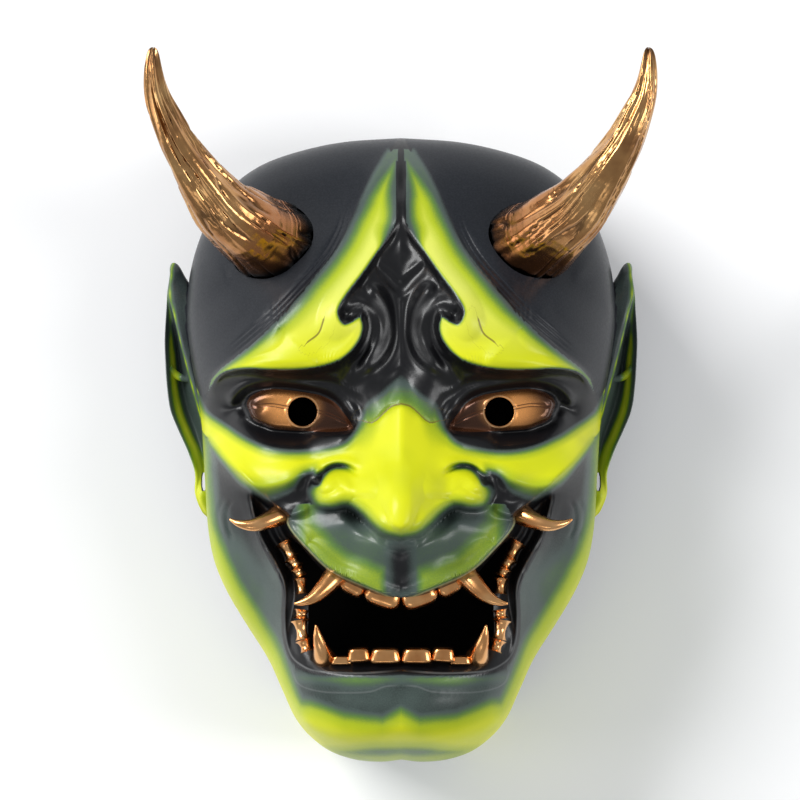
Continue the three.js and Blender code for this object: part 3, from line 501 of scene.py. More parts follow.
# Each row is y, then x and height of root, blade, blade edge, hollow, rim foot, rim crest, back and its root
EAR_ROWS = np.array([
    [54.5, 86.6, 36.4, 86.8, 36.8, 87.2, 37, 87.4, 36.8, 87.6, 36.6, 87.7, 36.3, 87.3, 35.5, 86.8, 35.6],
    [53.7, 85.5, 36, 86.2, 37.4, 87.4, 38.4, 87.8, 38, 88.1, 37.4, 88.3, 36.6, 87.4, 33.4, 85.9, 33.2],
    [52.2, 84.5, 37, 85.8, 39, 87.8, 40, 88.1, 39.4, 88.4, 38.3, 88.6, 37, 87.4, 32, 84.9, 31.5],
    [49.5, 83.2, 38, 85.0, 41, 87.9, 42, 88.2, 41, 88.4, 39.5, 88.6, 38, 87.3, 31, 83.5, 30],
    [42.5, 79.5, 41, 83.4, 44, 88.4, 44, 88.9, 42.5, 89.2, 40.5, 89.5, 38, 87.5, 26, 80, 24],
    [34.0, 77.5, 43, 82.4, 45, 86.6, 44.5, 87.4, 39, 88.6, 38, 90.1, 38.5, 88.6, 22, 78, 18],
    [25.0, 76.5, 44, 81.0, 45, 84.6, 43.5, 86.1, 33, 88.2, 36, 90.6, 38, 89.0, 20, 77, 15],
    [16.0, 75.5, 44, 79.3, 44.5, 82.3, 43, 84.9, 31, 87.4, 35, 90.3, 38, 88.6, 19, 76, 14],
    [7.0, 74.5, 44, 77.6, 44, 79.9, 42.5, 83.6, 30, 86.8, 35, 89.7, 38, 88.0, 18, 75, 13],
    [-2.0, 73.8, 43, 75.8, 43, 77.4, 41.5, 81.4, 30, 85.2, 35, 88.4, 38, 86.4, 19, 74, 14],
    [-10.0, 73.3, 42, 74.8, 42, 75.6, 41, 78.6, 31, 82.2, 35.5, 85.2, 38, 83.6, 20, 73.5, 17],
    [-18.0, 73.0, 41, 73.9, 41, 74.8, 40, 76.3, 33, 78.7, 36, 81.6, 38, 80.6, 22, 73, 19],
    [-26.0, 72.6, 40, 73.6, 40, 74.4, 39, 75.4, 35, 76.9, 36.5, 79.0, 37.5, 78.4, 23, 72.6, 21],
    [-34.0, 72.2, 39, 73.6, 40, 75.2, 40.5, 76.8, 40.5, 78.0, 39.5, 79.0, 37.5, 78.2, 25, 72.2, 23],
    [-40.5, 71.8, 37, 73.0, 38, 74.0, 38.5, 75.0, 38.3, 75.9, 37.5, 76.6, 36.5, 76.0, 28, 71.8, 27],
    [-43.0, 71.6, 35, 72.3, 35.5, 73.0, 35.6, 73.6, 35.4, 74.1, 35, 74.5, 34.5, 74.0, 31, 71.6, 30]])
EAR_SPOTS = np.stack([EAR_ROWS[:, 1::2], np.repeat(EAR_ROWS[:, :1], 8, 1), EAR_ROWS[:, 2::2]], -1)
EAR_BRIDGE = [(89.0, 14.5, 36.5, 1.3), (86.4, 11.6, 34.6, 1.5), (83.6, 10.2, 35.2, 1.4), (80.6, 9.8, 39, 1.2)]
SLIT = (75.7, -29.5, 1.9, 7.0)


def loft(name, rings):
    rings = np.asarray(rings)
    rows, count = rings.shape[:2]
    points = rings.reshape(-1, 3).tolist()
    faces = [(k + i, k + (i + 1) % count, k + count + (i + 1) % count, k + count + i)
             for k in range(0, (rows - 1) * count, count) for i in range(count)]
    for ring, first in ((0, 0), (rows - 1, (rows - 1) * count)):
        points.append(rings[ring].mean(0).tolist())
        faces += [(len(points) - 1, first + i, first + (i + 1) % count) for i in range(count)]
    return closed_piece(name, points, faces)


def ear(hand):
    grid = np.stack([curve(EAR_SPOTS[:, k], steps=5) for k in range(EAR_SPOTS.shape[1])], 1)
    rings = []
    for section in grid:
        flat = curve(section[:, [0, 2]], closed=True, steps=5)[:-1]
        rings.append(np.column_stack([flat[:, 0], np.full(len(flat), section[0, 1]), flat[:, 1]]))
    rings = np.array(rings)
    rings[:, :, 0] *= hand
    return loft("ear", rings)


def spike(points, hand, steps=6, sides=22, knuckle=0.0):
    line = curve(points, steps=steps)
    centre, radius = line[:, :3], line[:, 3]
    way = np.gradient(centre, axis=0)
    way /= np.linalg.norm(way, axis=1)[:, None]
    aside = np.cross(way, [0, 0, 1.0])
    aside /= np.linalg.norm(aside, axis=1)[:, None]
    over = np.cross(aside, way)
    share = np.linspace(0, 1, len(centre))
    radius = radius * (1 + knuckle * (2 * np.abs(share - 0.5)) ** 4 - 0.6 * knuckle * (1 - np.abs(2 * share - 1)))
    a = np.linspace(0, 2 * math.pi, sides, endpoint=False)
    rings = (centre[:, None] + radius[:, None, None] * (np.cos(a)[None, :, None] * aside[:, None]
                                                        + np.sin(a)[None, :, None] * over[:, None]))
    rings[..., 0] *= hand
    return loft("spike", rings)


for hand in (1, -1):
    leaf = ear(hand)
    bridge = spike(EAR_BRIDGE, hand, 6, 14)
    join(leaf, bridge, "UNION")
    drop(bridge)
    join(casting, leaf, "UNION")
    drop(leaf)
    low_x, width = SLIT[0] - SLIT[2] / 2, SLIT[2]
    corners = [(hand * (low_x + a * width), SLIT[1] + b * SLIT[3] / 2) for a, b in
               ((0.2, -1), (0.8, -1), (1, -0.5), (1, 0.5), (0.8, 1), (0.2, 1), (0, 0.5), (0, -0.5))]
    cutters.append(prism("slit", corners[::hand]))


# The horns, cast apart and glued in shallow sockets. They taper along a bend, with long flutes, a
# wandering grain that splits and joins, and small pits in the lower half.

HORN_LINE = [(40.4, 57, 66), (46.4, 60, 74), (52.2, 62.9, 82), (58.9, 67.9, 92), (66.7, 74, 100),
             (72.7, 81.5, 105), (77.5, 88.3, 109), (83.1, 97.3, 112), (87.3, 106.5, 114), (90.3, 114.4, 115),
             (91.7, 122.6, 115.5), (92, 132.5, 115.5)]
HORN_GIRTH = [(0, 1.04), (0.15, 1), (0.25, 0.9), (0.35, 0.8), (0.5, 0.63), (0.65, 0.47), (0.8, 0.33), (0.9, 0.225),
              (0.95, 0.17), (0.985, 0.11), (1, 0.01)]
HORN_RADIUS = 15.5
HORN_RINGS, HORN_SIDES = 300, 150
HOLE_RINGS, HOLE_SIDES = 60, 48
SOCKET_DEPTH = 2.4
GLUE_GAP = 0.3
# In metres, as the tree takes them
GRAIN_DEPTH = 0.0006
FLUTE_HEIGHT = 0.0005
FLUTES = 5.0
# A girth curve holds nothing over 1, so it is drawn smaller by this and grown again after it
GIRTH_TOP = 1.1


def node_maker(nodes, links):
    """Short ways to add a node with its values set or linked, shared by the horns and the paints."""
    def add(kind, values=(), **settings):
        node = nodes.new(kind)
        for key, value in settings.items():
            setattr(node, key, value)
        for key, value in values:
            if isinstance(value, bpy.types.NodeSocket):
                links.new(value, node.inputs[key])
            else:
                node.inputs[key].default_value = value
        return node

    def maths(operation, *values):
        return add("ShaderNodeMath", list(enumerate(values)), operation=operation).outputs[0]

    def span(value, low, high, to_low=0.0, to_high=1.0, eased="SMOOTHSTEP"):
        return add("ShaderNodeMapRange", [("Value", value), ("From Min", low), ("From Max", high),
                                          ("To Min", to_low), ("To Max", to_high)],
                   interpolation_type=eased).outputs[0]

    return add, maths, span


def grown_horn(name, hand, seed, rings, sides, carved, extra=0.0):
    """A tree that sweeps a round along the horn's line and carves its grain."""
    tree = bpy.data.node_groups.new(name, "GeometryNodeTree")
    tree.interface.new_socket("Line", in_out="INPUT", socket_type="NodeSocketGeometry")
    for label, kind, start in (("Girth", "Float", HORN_RADIUS / 1000), ("Glue gap", "Float", 0.0),
                               ("Grain depth", "Float", GRAIN_DEPTH), ("Seed", "Float", 0.0),
                               ("Rings", "Int", rings), ("Sides", "Int", sides)):
        socket = tree.interface.new_socket(label, in_out="INPUT", socket_type="NodeSocket" + kind)
        socket.default_value = start
    tree.interface.new_socket("Horn", in_out="OUTPUT", socket_type="NodeSocketGeometry")
    nodes, links = tree.nodes, tree.links
    given = nodes.new("NodeGroupInput").outputs
    out = nodes.new("NodeGroupOutput")
    add, maths, span = node_maker(nodes, links)

    def kept(geometry, name, value):
        return add("GeometryNodeStoreNamedAttribute", [("Geometry", geometry), ("Name", name), ("Value", value)],
                   data_type="FLOAT", domain="POINT").outputs[0]

    def read(name):
        return add("GeometryNodeInputNamedAttribute", [("Name", name)], data_type="FLOAT").outputs[0]

    def vectors(operation, first, second):
        return add("ShaderNodeVectorMath", [(0, first), (1, second)], operation=operation).outputs[0]

    def noise(where, scale, detail):
        return add("ShaderNodeTexNoise", [("Vector", where), ("Scale", scale), ("Detail", detail)]).outputs

    even = add("GeometryNodeResampleCurve", [("Curve", given["Line"]), ("Count", given["Rings"])]).outputs[0]
    part = add("GeometryNodeSplineParameter").outputs["Factor"]
    line_kept = kept(even, "part", part)
    girth = add("ShaderNodeFloatCurve", [("Value", part)])
    points = girth.mapping.curves[0].points
    for point, (at, size) in zip(points, (HORN_GIRTH[0], HORN_GIRTH[-1])):
        point.location = at, size / GIRTH_TOP
    for at, size in HORN_GIRTH[1:-1]:
        points.new(at, size / GIRTH_TOP)
    girth.mapping.update()
    radius = maths("MULTIPLY", maths("MULTIPLY", girth.outputs[0], GIRTH_TOP), given["Girth"])
    radius = maths("ADD", radius, given["Glue gap"])
    ring = add("GeometryNodeCurvePrimitiveCircle", [("Resolution", given["Sides"]), ("Radius", 1.0)]).outputs[0]
    ring_kept = kept(ring, "turn", part)
    sized = add("GeometryNodeSetCurveRadius", [("Curve", line_kept), ("Radius", radius)]).outputs[0]
    swept = add("GeometryNodeCurveToMesh", [("Curve", sized), ("Profile Curve", ring_kept), ("Fill Caps", True)])
    if "Scale" in swept.inputs:
        links.new(radius, swept.inputs["Scale"])
    share_at = read("part")
    turn = maths("MULTIPLY", read("turn"), 2 * math.pi)
    twist = maths("ADD", maths("MULTIPLY", turn, FLUTES), maths("MULTIPLY", share_at, 6.0))
    flute_high = maths("MULTIPLY", maths("MINIMUM", maths("MULTIPLY", share_at, 3.3), 1.0), FLUTE_HEIGHT)
    flute = maths("MULTIPLY", maths("SINE", twist), flute_high)
    sheet = add("ShaderNodeCombineXYZ", [(0, maths("COSINE", turn)), (1, maths("SINE", turn)), (2, share_at)])
    away = add("ShaderNodeCombineXYZ", [(2, given["Seed"])])
    shifted = vectors("ADD", sheet.outputs[0], away.outputs[0])
    pulled = vectors("MULTIPLY", noise(shifted, 1.7, 2.0)["Color"], (0.9, 0.9, 0.35))
    bent = vectors("ADD", shifted, pulled)
    grain = maths("SUBTRACT", noise(bent, 2.0, 0.0)[0], 0.5)
    cut = span(maths("ABSOLUTE", grain), 0.0, 0.045, 1.0, 0.0)
    second = maths("SUBTRACT", noise(bent, 4.6, 0.0)[0], 0.52)
    fine = span(maths("ABSOLUTE", second), 0.0, 0.03, 0.25, 0.0)
    fade = span(share_at, 0.75, 0.97, 1.0, 0.15, "LINEAR")
    furrow = maths("MULTIPLY", maths("MAXIMUM", cut, fine), fade)
    spots = vectors("MULTIPLY", shifted, (1.0, 1.0, 2.6))
    pit_cells = add("ShaderNodeTexVoronoi", [("Vector", spots), ("Scale", 6.5), ("Randomness", 1.0)])
    pit = maths("MULTIPLY", span(pit_cells.outputs["Distance"], 0.05, 0.12, 1.0, 0.0),
                span(share_at, 0.35, 0.6, 1.0, 0.0, "LINEAR"))
    sunk = maths("MAXIMUM", furrow, maths("MULTIPLY", pit, 0.4))
    stored = kept(swept.outputs[0], "furrow", sunk)
    swell = maths("MULTIPLY", maths("MULTIPLY", grain, maths("MULTIPLY", given["Grain depth"], 5.0)), fade)
    carve = maths("SUBTRACT", flute, maths("MULTIPLY", read("furrow"), given["Grain depth"]))
    normal = add("GeometryNodeInputNormal").outputs[0]
    push = add("ShaderNodeVectorMath", [(0, normal), ("Scale", maths("ADD", swell, carve))], operation="SCALE")
    moved = add("GeometryNodeSetPosition", [("Geometry", stored), ("Offset", push.outputs[0])]).outputs[0]
    merged = add("GeometryNodeMergeByDistance", [("Geometry", moved), ("Distance", 0.000001)]).outputs[0]
    real = add("GeometryNodeRealizeInstances", [("Geometry", merged)]).outputs[0]
    finish = add("GeometryNodeSetMaterial", [("Geometry", real), ("Material", horn_bronze)])
    links.new(finish.outputs[0], out.inputs["Horn"])

    line = bpy.data.curves.new(name, "CURVE")
    line.dimensions = "3D"
    path = curve([(hand * px, py, pz) for px, py, pz in HORN_LINE], steps=4)
    spline = line.splines.new("POLY")
    spline.points.add(len(path) - 1)
    for point, (px, py, pz) in zip(spline.points, path):
        point.co = (px / 1000, (py + shift_y) / 1000, pz / 1000, 1)
    body = bpy.data.objects.new(name, line)
    bpy.context.scene.collection.objects.link(body)
    grow = body.modifiers.new("grow", "NODES")
    grow.node_group = tree
    idents = {item.name: item.identifier for item in tree.interface.items_tree if item.in_out == "INPUT"}
    grow[idents["Seed"]] = float(seed)
    grow[idents["Glue gap"]] = extra / 1000
    grow[idents["Grain depth"]] = GRAIN_DEPTH if carved else 0.0
    mesh = bpy.data.meshes.new_from_object(body.evaluated_get(bpy.context.evaluated_depsgraph_get()))
    bpy.data.objects.remove(body)
    return new_piece(name, mesh)


class Paint:
    """A new material with short ways to add its nodes and to feed its shader."""

    def __init__(self, name, roughness, metallic=0.0, coat=0.0):
        self.material = bpy.data.materials.new(name)
        self.material.use_nodes = True
        tree = self.material.node_tree
        self.links = tree.links
        self.shader = next(node for node in tree.nodes if node.type == "BSDF_PRINCIPLED")
        for socket, value in (("Roughness", roughness), ("Metallic", metallic), ("Coat Weight", coat),
                              ("Coat Roughness", 0.2)):
            self.shader.inputs[socket].default_value = value
        self.add, self.maths, self.span = node_maker(tree.nodes, tree.links)

    def feed(self, socket, value):
        self.links.new(value, self.shader.inputs[socket])

    def mix(self, amount, *colours):
        first, second = [c if isinstance(c, bpy.types.NodeSocket) else (*c, 1) for c in colours]
        return self.add("ShaderNodeMix", [(0, amount), (6, first), (7, second)], data_type="RGBA").outputs[2]

    def noise(self, scale, detail):
        where = self.add("ShaderNodeTexCoord").outputs["Object"]
        return self.add("ShaderNodeTexNoise", [("Vector", where), ("Scale", scale), ("Detail", detail)]).outputs[0]

    def reading(self, attribute):
        return self.add("ShaderNodeAttribute", attribute_name=attribute).outputs["Fac"]

    def line(self, value, middle, thin, wide, strength):
        """A drawn line where the value is near the middle, soft from thin to wide."""
        return self.span(self.maths("ABSOLUTE", self.maths("SUBTRACT", value, middle)), thin, wide, strength, 0.0)

    def ramp(self, value, stops):
        node = self.add("ShaderNodeValToRGB", [("Fac", value)])
        for _ in stops[2:]:
            node.color_ramp.elements.new(0.5)
        for element, (at, colour) in zip(node.color_ramp.elements, stops):
            element.position, element.color = at, (*colour, 1)
        return node.outputs[0]

    def bump(self, height, strength, distance):
        node = self.add("ShaderNodeBump", [("Height", height), ("Strength", strength), ("Distance", distance)])
        self.feed("Normal", node.outputs[0])


pot = Paint("horn_bronze", 0.24, 1.0, 0.3)
horn_bronze = pot.material
gold = pot.ramp(pot.noise(70, 3.0), [(0.3, (0.32, 0.145, 0.05)), (0.5, (0.50, 0.26, 0.095)),
                                     (0.7, (0.66, 0.39, 0.16))])
warm_foot = pot.mix(pot.span(pot.reading("part"), 0.2, 0.5, 0.85, 0.0), gold, (0.36, 0.125, 0.038))
in_grain = pot.maths("MULTIPLY", pot.span(pot.reading("furrow"), 0.15, 0.8), 0.6)
washed = pot.mix(in_grain, warm_foot, (0.10, 0.05, 0.02))
pot.feed("Base Color", pot.mix(pot.reading("seam"), washed, (0.008, 0.007, 0.007)))
pot.feed("Roughness", pot.span(pot.noise(260, 2.0), 0.3, 0.7, 0.19, 0.25))
pot.bump(pot.noise(160, 1.0), 0.04, 0.0003)

# The face sunk to the sockets' depth shapes the foot of each horn, and sunk a little more the socket's floor
SEAT_CELLS = 110
lowered = {}
for depth, keep in ((SOCKET_DEPTH, "seat"), (SOCKET_DEPTH + 1.5 * GLUE_GAP, "socket")):
    x, y, z, angle, share = face_grid(SEAT_CELLS, 1.1, 0.92, False)
    body = shell(keep, np.stack([x, y, z], -1), SEAT_CELLS, SIDE)
    body.data.transform(Matrix.Translation((0, 0, -depth / 1000)))
    lowered[keep] = body
horns = {}
for name, hand, seed in (("horn_left", -1, 3.0), ("horn_right", 1, 11.0)):
    horn = grown_horn(name + "_cast", hand, seed, HORN_RINGS, HORN_SIDES, True)
    join(horn, lowered["seat"], "DIFFERENCE")
    horns[name] = horn
    hole = grown_horn("hole", hand, seed, HOLE_RINGS, HOLE_SIDES, False, GLUE_GAP)
    join(hole, lowered["socket"], "DIFFERENCE")
    cutters.append(hole)
for body in lowered.values():
    drop(body)

skin = BVHTree.FromPolygons([v.co.copy() for v in casting.data.vertices],
                            [tuple(f.vertices) for f in casting.data.polygons])
for cutter in cutters:
    join(casting, cutter, "DIFFERENCE")
    drop(cutter)
join(casting, core, "DIFFERENCE")
drop(core)


# The teeth, cast with the face and picked out in bronze: two rounded blocks a side on the upper gum
# and three on the lower, a tusk, an upper and a lower fang, and a jointed row of bones up the cheek.

# centre x and y, half width, half height, half depth, turn in degrees, and height of the tooth's face
TOOTH_BLOCKS = [(6.7, -71.2, 6.9, 5.0, 5.5, -20, 92.0), (17.8, -67.3, 5.0, 4.4, 5.5, -31, 90.5),
                (5.9, -94.2, 5.6, 3.0, 5.0, 0, 91.5), (15.9, -93.9, 4.3, 2.8, 5.0, 3, 90.5),
                (22.3, -96.0, 4.0, 1.7, 4.0, 0, 88.0)]
# points down the middle of each fang with the radius at each
FANGS = [[(39.5, -38.6, 82, 4.4), (44.5, -40.6, 85.5, 4.3), (49.6, -43.2, 89, 3.4), (55.5, -45.0, 91, 2.4),
          (60.6, -44.5, 91, 1.4), (64.2, -42.9, 90, 0.45)],
         [(21.0, -60.5, 88, 4.6), (25.2, -64.6, 91.5, 4.3), (29.2, -69.0, 94.5, 3.4), (33.2, -72.3, 96.5, 2.3),
          (37.0, -73.8, 97.3, 1.3), (40.0, -74.3, 97.5, 0.4)],
         [(28.4, -96.6, 74, 4.6), (28.9, -94.9, 83, 4.3), (29.9, -91.3, 88.5, 3.1), (31.1, -86.8, 91.5, 1.9),
          (31.9, -82.4, 93, 0.4)]]
# the same for each bone of the cheek
BONES = [[(44.0, -51.8, 81.6, 2.8), (40.9, -57.3, 82.6, 2.0)],
         [(41.3, -57.6, 82.6, 2.6), (38.9, -61.0, 83.1, 2.2)],
         [(39.2, -61.5, 83.6, 2.3), (37.4, -64.6, 84.1, 2.4)],
         [(37.8, -65.2, 83.6, 2.2), (37.2, -71.0, 84.1, 2.0)],
         [(37.2, -77.0, 84.6, 2.4), (37.6, -80.4, 84.8, 2.6)],
         [(38.0, -81.0, 84.8, 2.7), (36.8, -88.2, 85.6, 2.2)],
         [(36.6, -88.4, 85.6, 2.6), (35.2, -92.6, 86.1, 2.2)]]


TOOTH_RINGS, TOOTH_SIDES = 24, 48


def squared(value, power):
    return math.copysign(abs(value) ** power, value)


def tooth_block(cx, cy, half_width, half_height, half_depth, turn, face, hand):
    """A rounded block with two faint lines down its face. Those of the upper gum are rounder."""
    edge = 0.7 if cy > -80 else 0.36
    rings = []
    for k in range(1, TOOTH_RINGS):
        tall = math.pi * (k / TOOTH_RINGS - 0.5)
        ring = []
        for i in range(TOOTH_SIDES):
            a = 2 * math.pi * i / TOOTH_SIDES
            u = squared(math.cos(tall), edge) * squared(math.cos(a), 0.5)
            w = squared(math.cos(tall), edge) * squared(math.sin(a), 0.5)
            v = squared(math.sin(tall), edge * 1.1)
            lines = 0.05 * sum(max(0.0, 1 - abs(u - at) / 0.09) for at in (-0.3, 0.34)) * (v < 0.5)
            deep = w * half_depth * (1 - lines if w > 0 else 1)
            ring.append((u * half_width * (1 - 0.1 * v), v * half_height, deep))
        rings.append(ring)
    rings = np.array(rings)
    c, s = math.cos(math.radians(turn)), math.sin(math.radians(turn))
    px = cx + rings[..., 0] * c + rings[..., 1] * s
    py = cy - rings[..., 0] * s + rings[..., 1] * c
    return loft("tooth", np.stack([hand * px, py, rings[..., 2] + face - half_depth], -1))


tooth_bodies = []
for hand in (1, -1):
    tooth_bodies += [tooth_block(*numbers, hand) for numbers in TOOTH_BLOCKS]
    tooth_bodies += [spike(points, hand) for points in FANGS]
    tooth_bodies += [spike(points, hand, 10, 18, 0.35) for points in BONES]
teeth = tooth_bodies[0]
for body in tooth_bodies[1:]:
    join(teeth, body, "UNION")
    drop(body)
teeth.name = "mask_teeth_cast"


# The paint on the casting, airbrushed by hand: lime, fading through green to black lacquer, with a
# satin charcoal skull. It is kept as measures in millimetres at each point, so that edges stay crisp.
# Some of it is painted light: painted shade in creases, beside the alae and under the cheeks, painted
# sheen on the wings, the muzzle and under the lower lip, and painted highlights on the eyes and crests.

LID_LINE = curve([(76, 3), (72.7, -2.6), (65.2, -7.5), (57.7, -12), (49, -15.6), (39.7, -16.8), (30.3, -16),
                  (21.4, -13.6), (16.9, -8.6), (14.6, -3.0), (12.7, 0.6), (7.9, 3.4), (3.4, 7.4), (0, 10.0)])
JAW_BAND = [(-136, 12), (-120, 9.5), (-110, 7.5), (-90, 7.5), (-70, 7.2), (-55, 5.5), (-45, 3.5), (-36, 2.6),
            (-25, 2.0), (-12, 1.5), (0, -4)]


def left_of(line, x, y, reach):
    d, side, _ = near(line, x, y, reach)
    return d * side


def fade(distance, middle, half):
    return (distance - middle) / half


def lime_on_face(x, y, z):
    x = np.abs(x)
    share = np.hypot(x, y - CENTRE_Y) / reach_at(np.arctan2(x, y - CENTRE_Y))
    edge, hair = near(WING_EDGE, x, y, 40)[0], near(HAIR_LINE, x, y, 40)[0]
    on = np.where(inside(WING, x, y, 60) > 0, 1, -1)
    high = smooth((y - 58) / 10)
    inner = fade(on * edge, 0.45 + 2.5 * high - 1.7 * smooth((y - 78) / 14), 0.5 + 2.3 * high)
    outer = fade(on * hair, np.interp(y, [5, 18, 40, 78, 96], [0.3, 1.3, 3.0, 2.6, 5.0]),
                 np.interp(y, [5, 18, 40], [0.7, 2.0, 3.4]))
    wing = np.minimum(np.minimum(inner, outer), fade(100 - y, 8, 6))
    wing = np.maximum(wing, np.where(on > 0, -0.45, -0.45 - 0.45 * hair) - 0.02 * np.maximum(0, 88 - y)
                      - 2 * smooth((4 - edge) / 4) * (on < 0))
    below_lid = fade(left_of(LID_LINE, x, y, 60), np.interp(x, [11, 17], [2.4, 1.4]),
                     np.interp(x, [11, 17], [3.0, 1.5]))
    below_lid = np.clip(below_lid, -3, 2.6)
    across = [33, 42, 50, 58, 66]
    cheek = fade(-left_of(CHEEK_CREST, x, y, 60), np.interp(x, across, [-0.6, -2.2, -2.8, -1.3, -0.7]),
                 np.interp(x, across, [2.2, 2.8, 3.2, 1.8, 1.3]))
    cheek = np.where(x > 30, np.clip(cheek, -2, 2.6), -2)
    # Painted shade beside the ala, where it meets the cheek
    cheek = cheek - 1.6 * (1 - smooth(np.hypot(x - 34.5, (y + 30) / 1.6) / 6))
    nose_on = fade(-left_of(NOSE_UNDER, x, y, 60), 1.3, 1.9)
    nose_on = np.clip(np.where((x < 36) & (y > -52), nose_on, -2), -2, 2.6)
    # Painted shade in the ala's crease, dark in the cut and soft around it
    crease, _, part = near(ALA_CREASE, x, y, 12)
    crease_shade = 2.6 * (1 - smooth(crease / 2.7)) + 0.8 * (1 - smooth(crease / 6.5))
    nose_on = nose_on - crease_shade * ends(part, 0.0, 0.45)
    # Painted shade beside the ala, on the nose's side of the same place
    nose_on = nose_on - 1.2 * (1 - smooth(np.hypot((x - 33.5) / 5, (y + 27) / 6)))
    d, side, _ = near(SCALLOP, x, y, 20)
    olive = np.where(side > 0, np.minimum(0.5 + d * 1.2, 2.6), 0.35 - d / 7)
    below_lid += (np.minimum(below_lid, olive) - below_lid) * smooth((16.5 - x) / 4)
    field = np.maximum(wing, np.minimum(below_lid, np.maximum(cheek, nose_on)))
    muzzle_edge, side, _ = near(MUZZLE, x, y, 30)
    on_muzzle = (side < 0) & (x < 44) & (y < -37)
    muzzle = np.minimum(fade(-muzzle_edge, -8.0, 6.0), 0.35) - 0.9 * (1 - smooth(muzzle_edge / 1.1))
    muzzle = np.minimum(muzzle, np.minimum(fade(x, 7, 4), fade(-x, -37, 5)))
    # Painted sheen: the muzzle below the nose is lifted to teal-grey
    muzzle = np.maximum(muzzle, -0.5 - 0.45 * smooth((y + 48) / 8))
    philtrum = (1 - smooth((x - 0.5) / 6.5)) * smooth((-y - 49) / 8) * (1 - 0.6 * smooth((-y - 67) / 4))
    muzzle = muzzle - 0.8 * philtrum
    field = np.maximum(field, np.where(on_muzzle, muzzle, -2))
    rim = (1 - share) * reach_at(np.arctan2(x, y - CENTRE_Y))
    jaw = np.where(y < 8, np.clip(fade(-rim, -along(JAW_BAND, y), 3.6), -2, 2.6), -2)
    jaw = jaw - 2 * smooth((-y - 119) / 9) * (1 - smooth((x - 22) / 14))
    # The chin is lime down from its crest and dark olive on its underside, partly paint and partly painted shade.
    # The band under the lower lip is lifted to teal-grey, a painted sheen.
    chin = np.minimum(fade(-y, np.interp(x, [0, 7, 21, 34], [114.5, 118, 116.5, 112]), 3.3),
                      fade(y, -130.5 - 2.5 * smooth((x - 8) / 20), 2.2))
    chin = np.maximum(chin, np.where(y < -122, -0.3, np.where(y < -106, -0.85, -2)))
    under_cheek = near(CHEEK_EDGE, x, y, 30)[0]
    valley = -0.8 + 0.35 * smooth((near(LIP, x, y, 30)[0] - 3) / 9) - 0.45 * smooth((y + 66) / 24)
    # Painted shade: the jaw's valley darkens under the cheek's edge
    valley = np.where((y < -20) & (x > 40), valley - 1.3 * (1 - smooth((under_cheek - 2) / 13)), -2)
    band = np.where((y < -98) & (y > -110) & (x < 42),
                    -0.4 - np.abs(y + 103) / 5 + 0.4 * (1 - smooth(np.abs(x - 17) / 20)), -2)
    low = np.maximum(np.maximum(jaw, chin), np.maximum(valley, band))
    low = -2 + (low + 2) * smooth((np.maximum(-left_of(LIP, x, y, 40), -100.3 - y) - 0.2) / 1.6)
    field = np.maximum(field, low)
    return np.where(z < RIM, field - (RIM - z) / np.interp(y, [-126, -104], [60, 13]), field)


EAR_EDGES = [curve(EAR_SPOTS[:, k], steps=12) for k in (2, 4)]


def ear_distances(x, y, z):
    spots = np.column_stack([np.abs(x), y, z])
    return [np.min(np.linalg.norm(spots[:, None] - edge[None, ::2], axis=2), axis=1)
            for edge in EAR_EDGES]


def lime_on_ear(x, y, z):
    blade, rim = ear_distances(x, y, z)
    helix = fade(-rim, -np.interp(y, [-40, -10, 20, 30], [3.8, 3.2, 2.3, 0.2]), 1.3)
    field = np.maximum(fade(-blade, -np.interp(y, [-10, 20, 54], [0.9, 0.75, 0.45]), 0.8), helix)
    field = np.maximum(field, fade(-y, 32, 8) - (36 - z) / 8)
    return np.maximum(field, np.interp(y, [-20, 10, 30], [-0.6, -0.75, -0.95]))


def measure(piece, name, values):
    attribute = piece.data.attributes.new(name, "FLOAT", "POINT")
    attribute.data.foreach_set("value", np.asarray(values, np.float32))


def drawn_places(piece):
    spots = np.empty(len(piece.data.vertices) * 3)
    piece.data.vertices.foreach_get("co", spots)
    return spots.reshape(-1, 3) * 1000 - [0, shift_y, 0]


x, y, z = drawn_places(casting).T
half = np.abs(x)
share = np.hypot(x, y - CENTRE_Y) / reach_at(np.arctan2(half, y - CENTRE_Y))
# A point away from the skin as it was before the cuts lies in the hollow or on an opening's wall
BLACK = -1.6
SKIN_WITHIN = 0.00005
within = np.array([skin.find_nearest(v.co)[3] for v in casting.data.vertices]) > SKIN_WITHIN
on_ear = (share > 1.003) & (z > 10) & ~within
lime = lime_on_face(x, y, z)
lime[on_ear] = lime_on_ear(x[on_ear], y[on_ear], z[on_ear])
lime[within] = BLACK
measure(casting, "lime", np.clip(lime, -3, 3))
satin = np.clip(-left_of(HAIR_LINE, half, y, 300) / 2.0, -1, 2)
satin = -1 + (satin + 1) * smooth((y + 2) / 9)
satin = np.where(on_ear, 0.6, np.where(within, -1, satin))
measure(casting, "satin", np.clip(satin, -2, 2))
# Painted sheen: the wings' upper middle, and the ears a little, are painted a paler yellow where a highlight falls
pale_sheen = np.clip((y - 18) / 26, 0, 1) * np.clip((84 - y) / 20, 0, 1) * (inside(WING, half, y, 60) > 0)
measure(casting, "pale_sheen", np.where(on_ear, 0.3, pale_sheen))
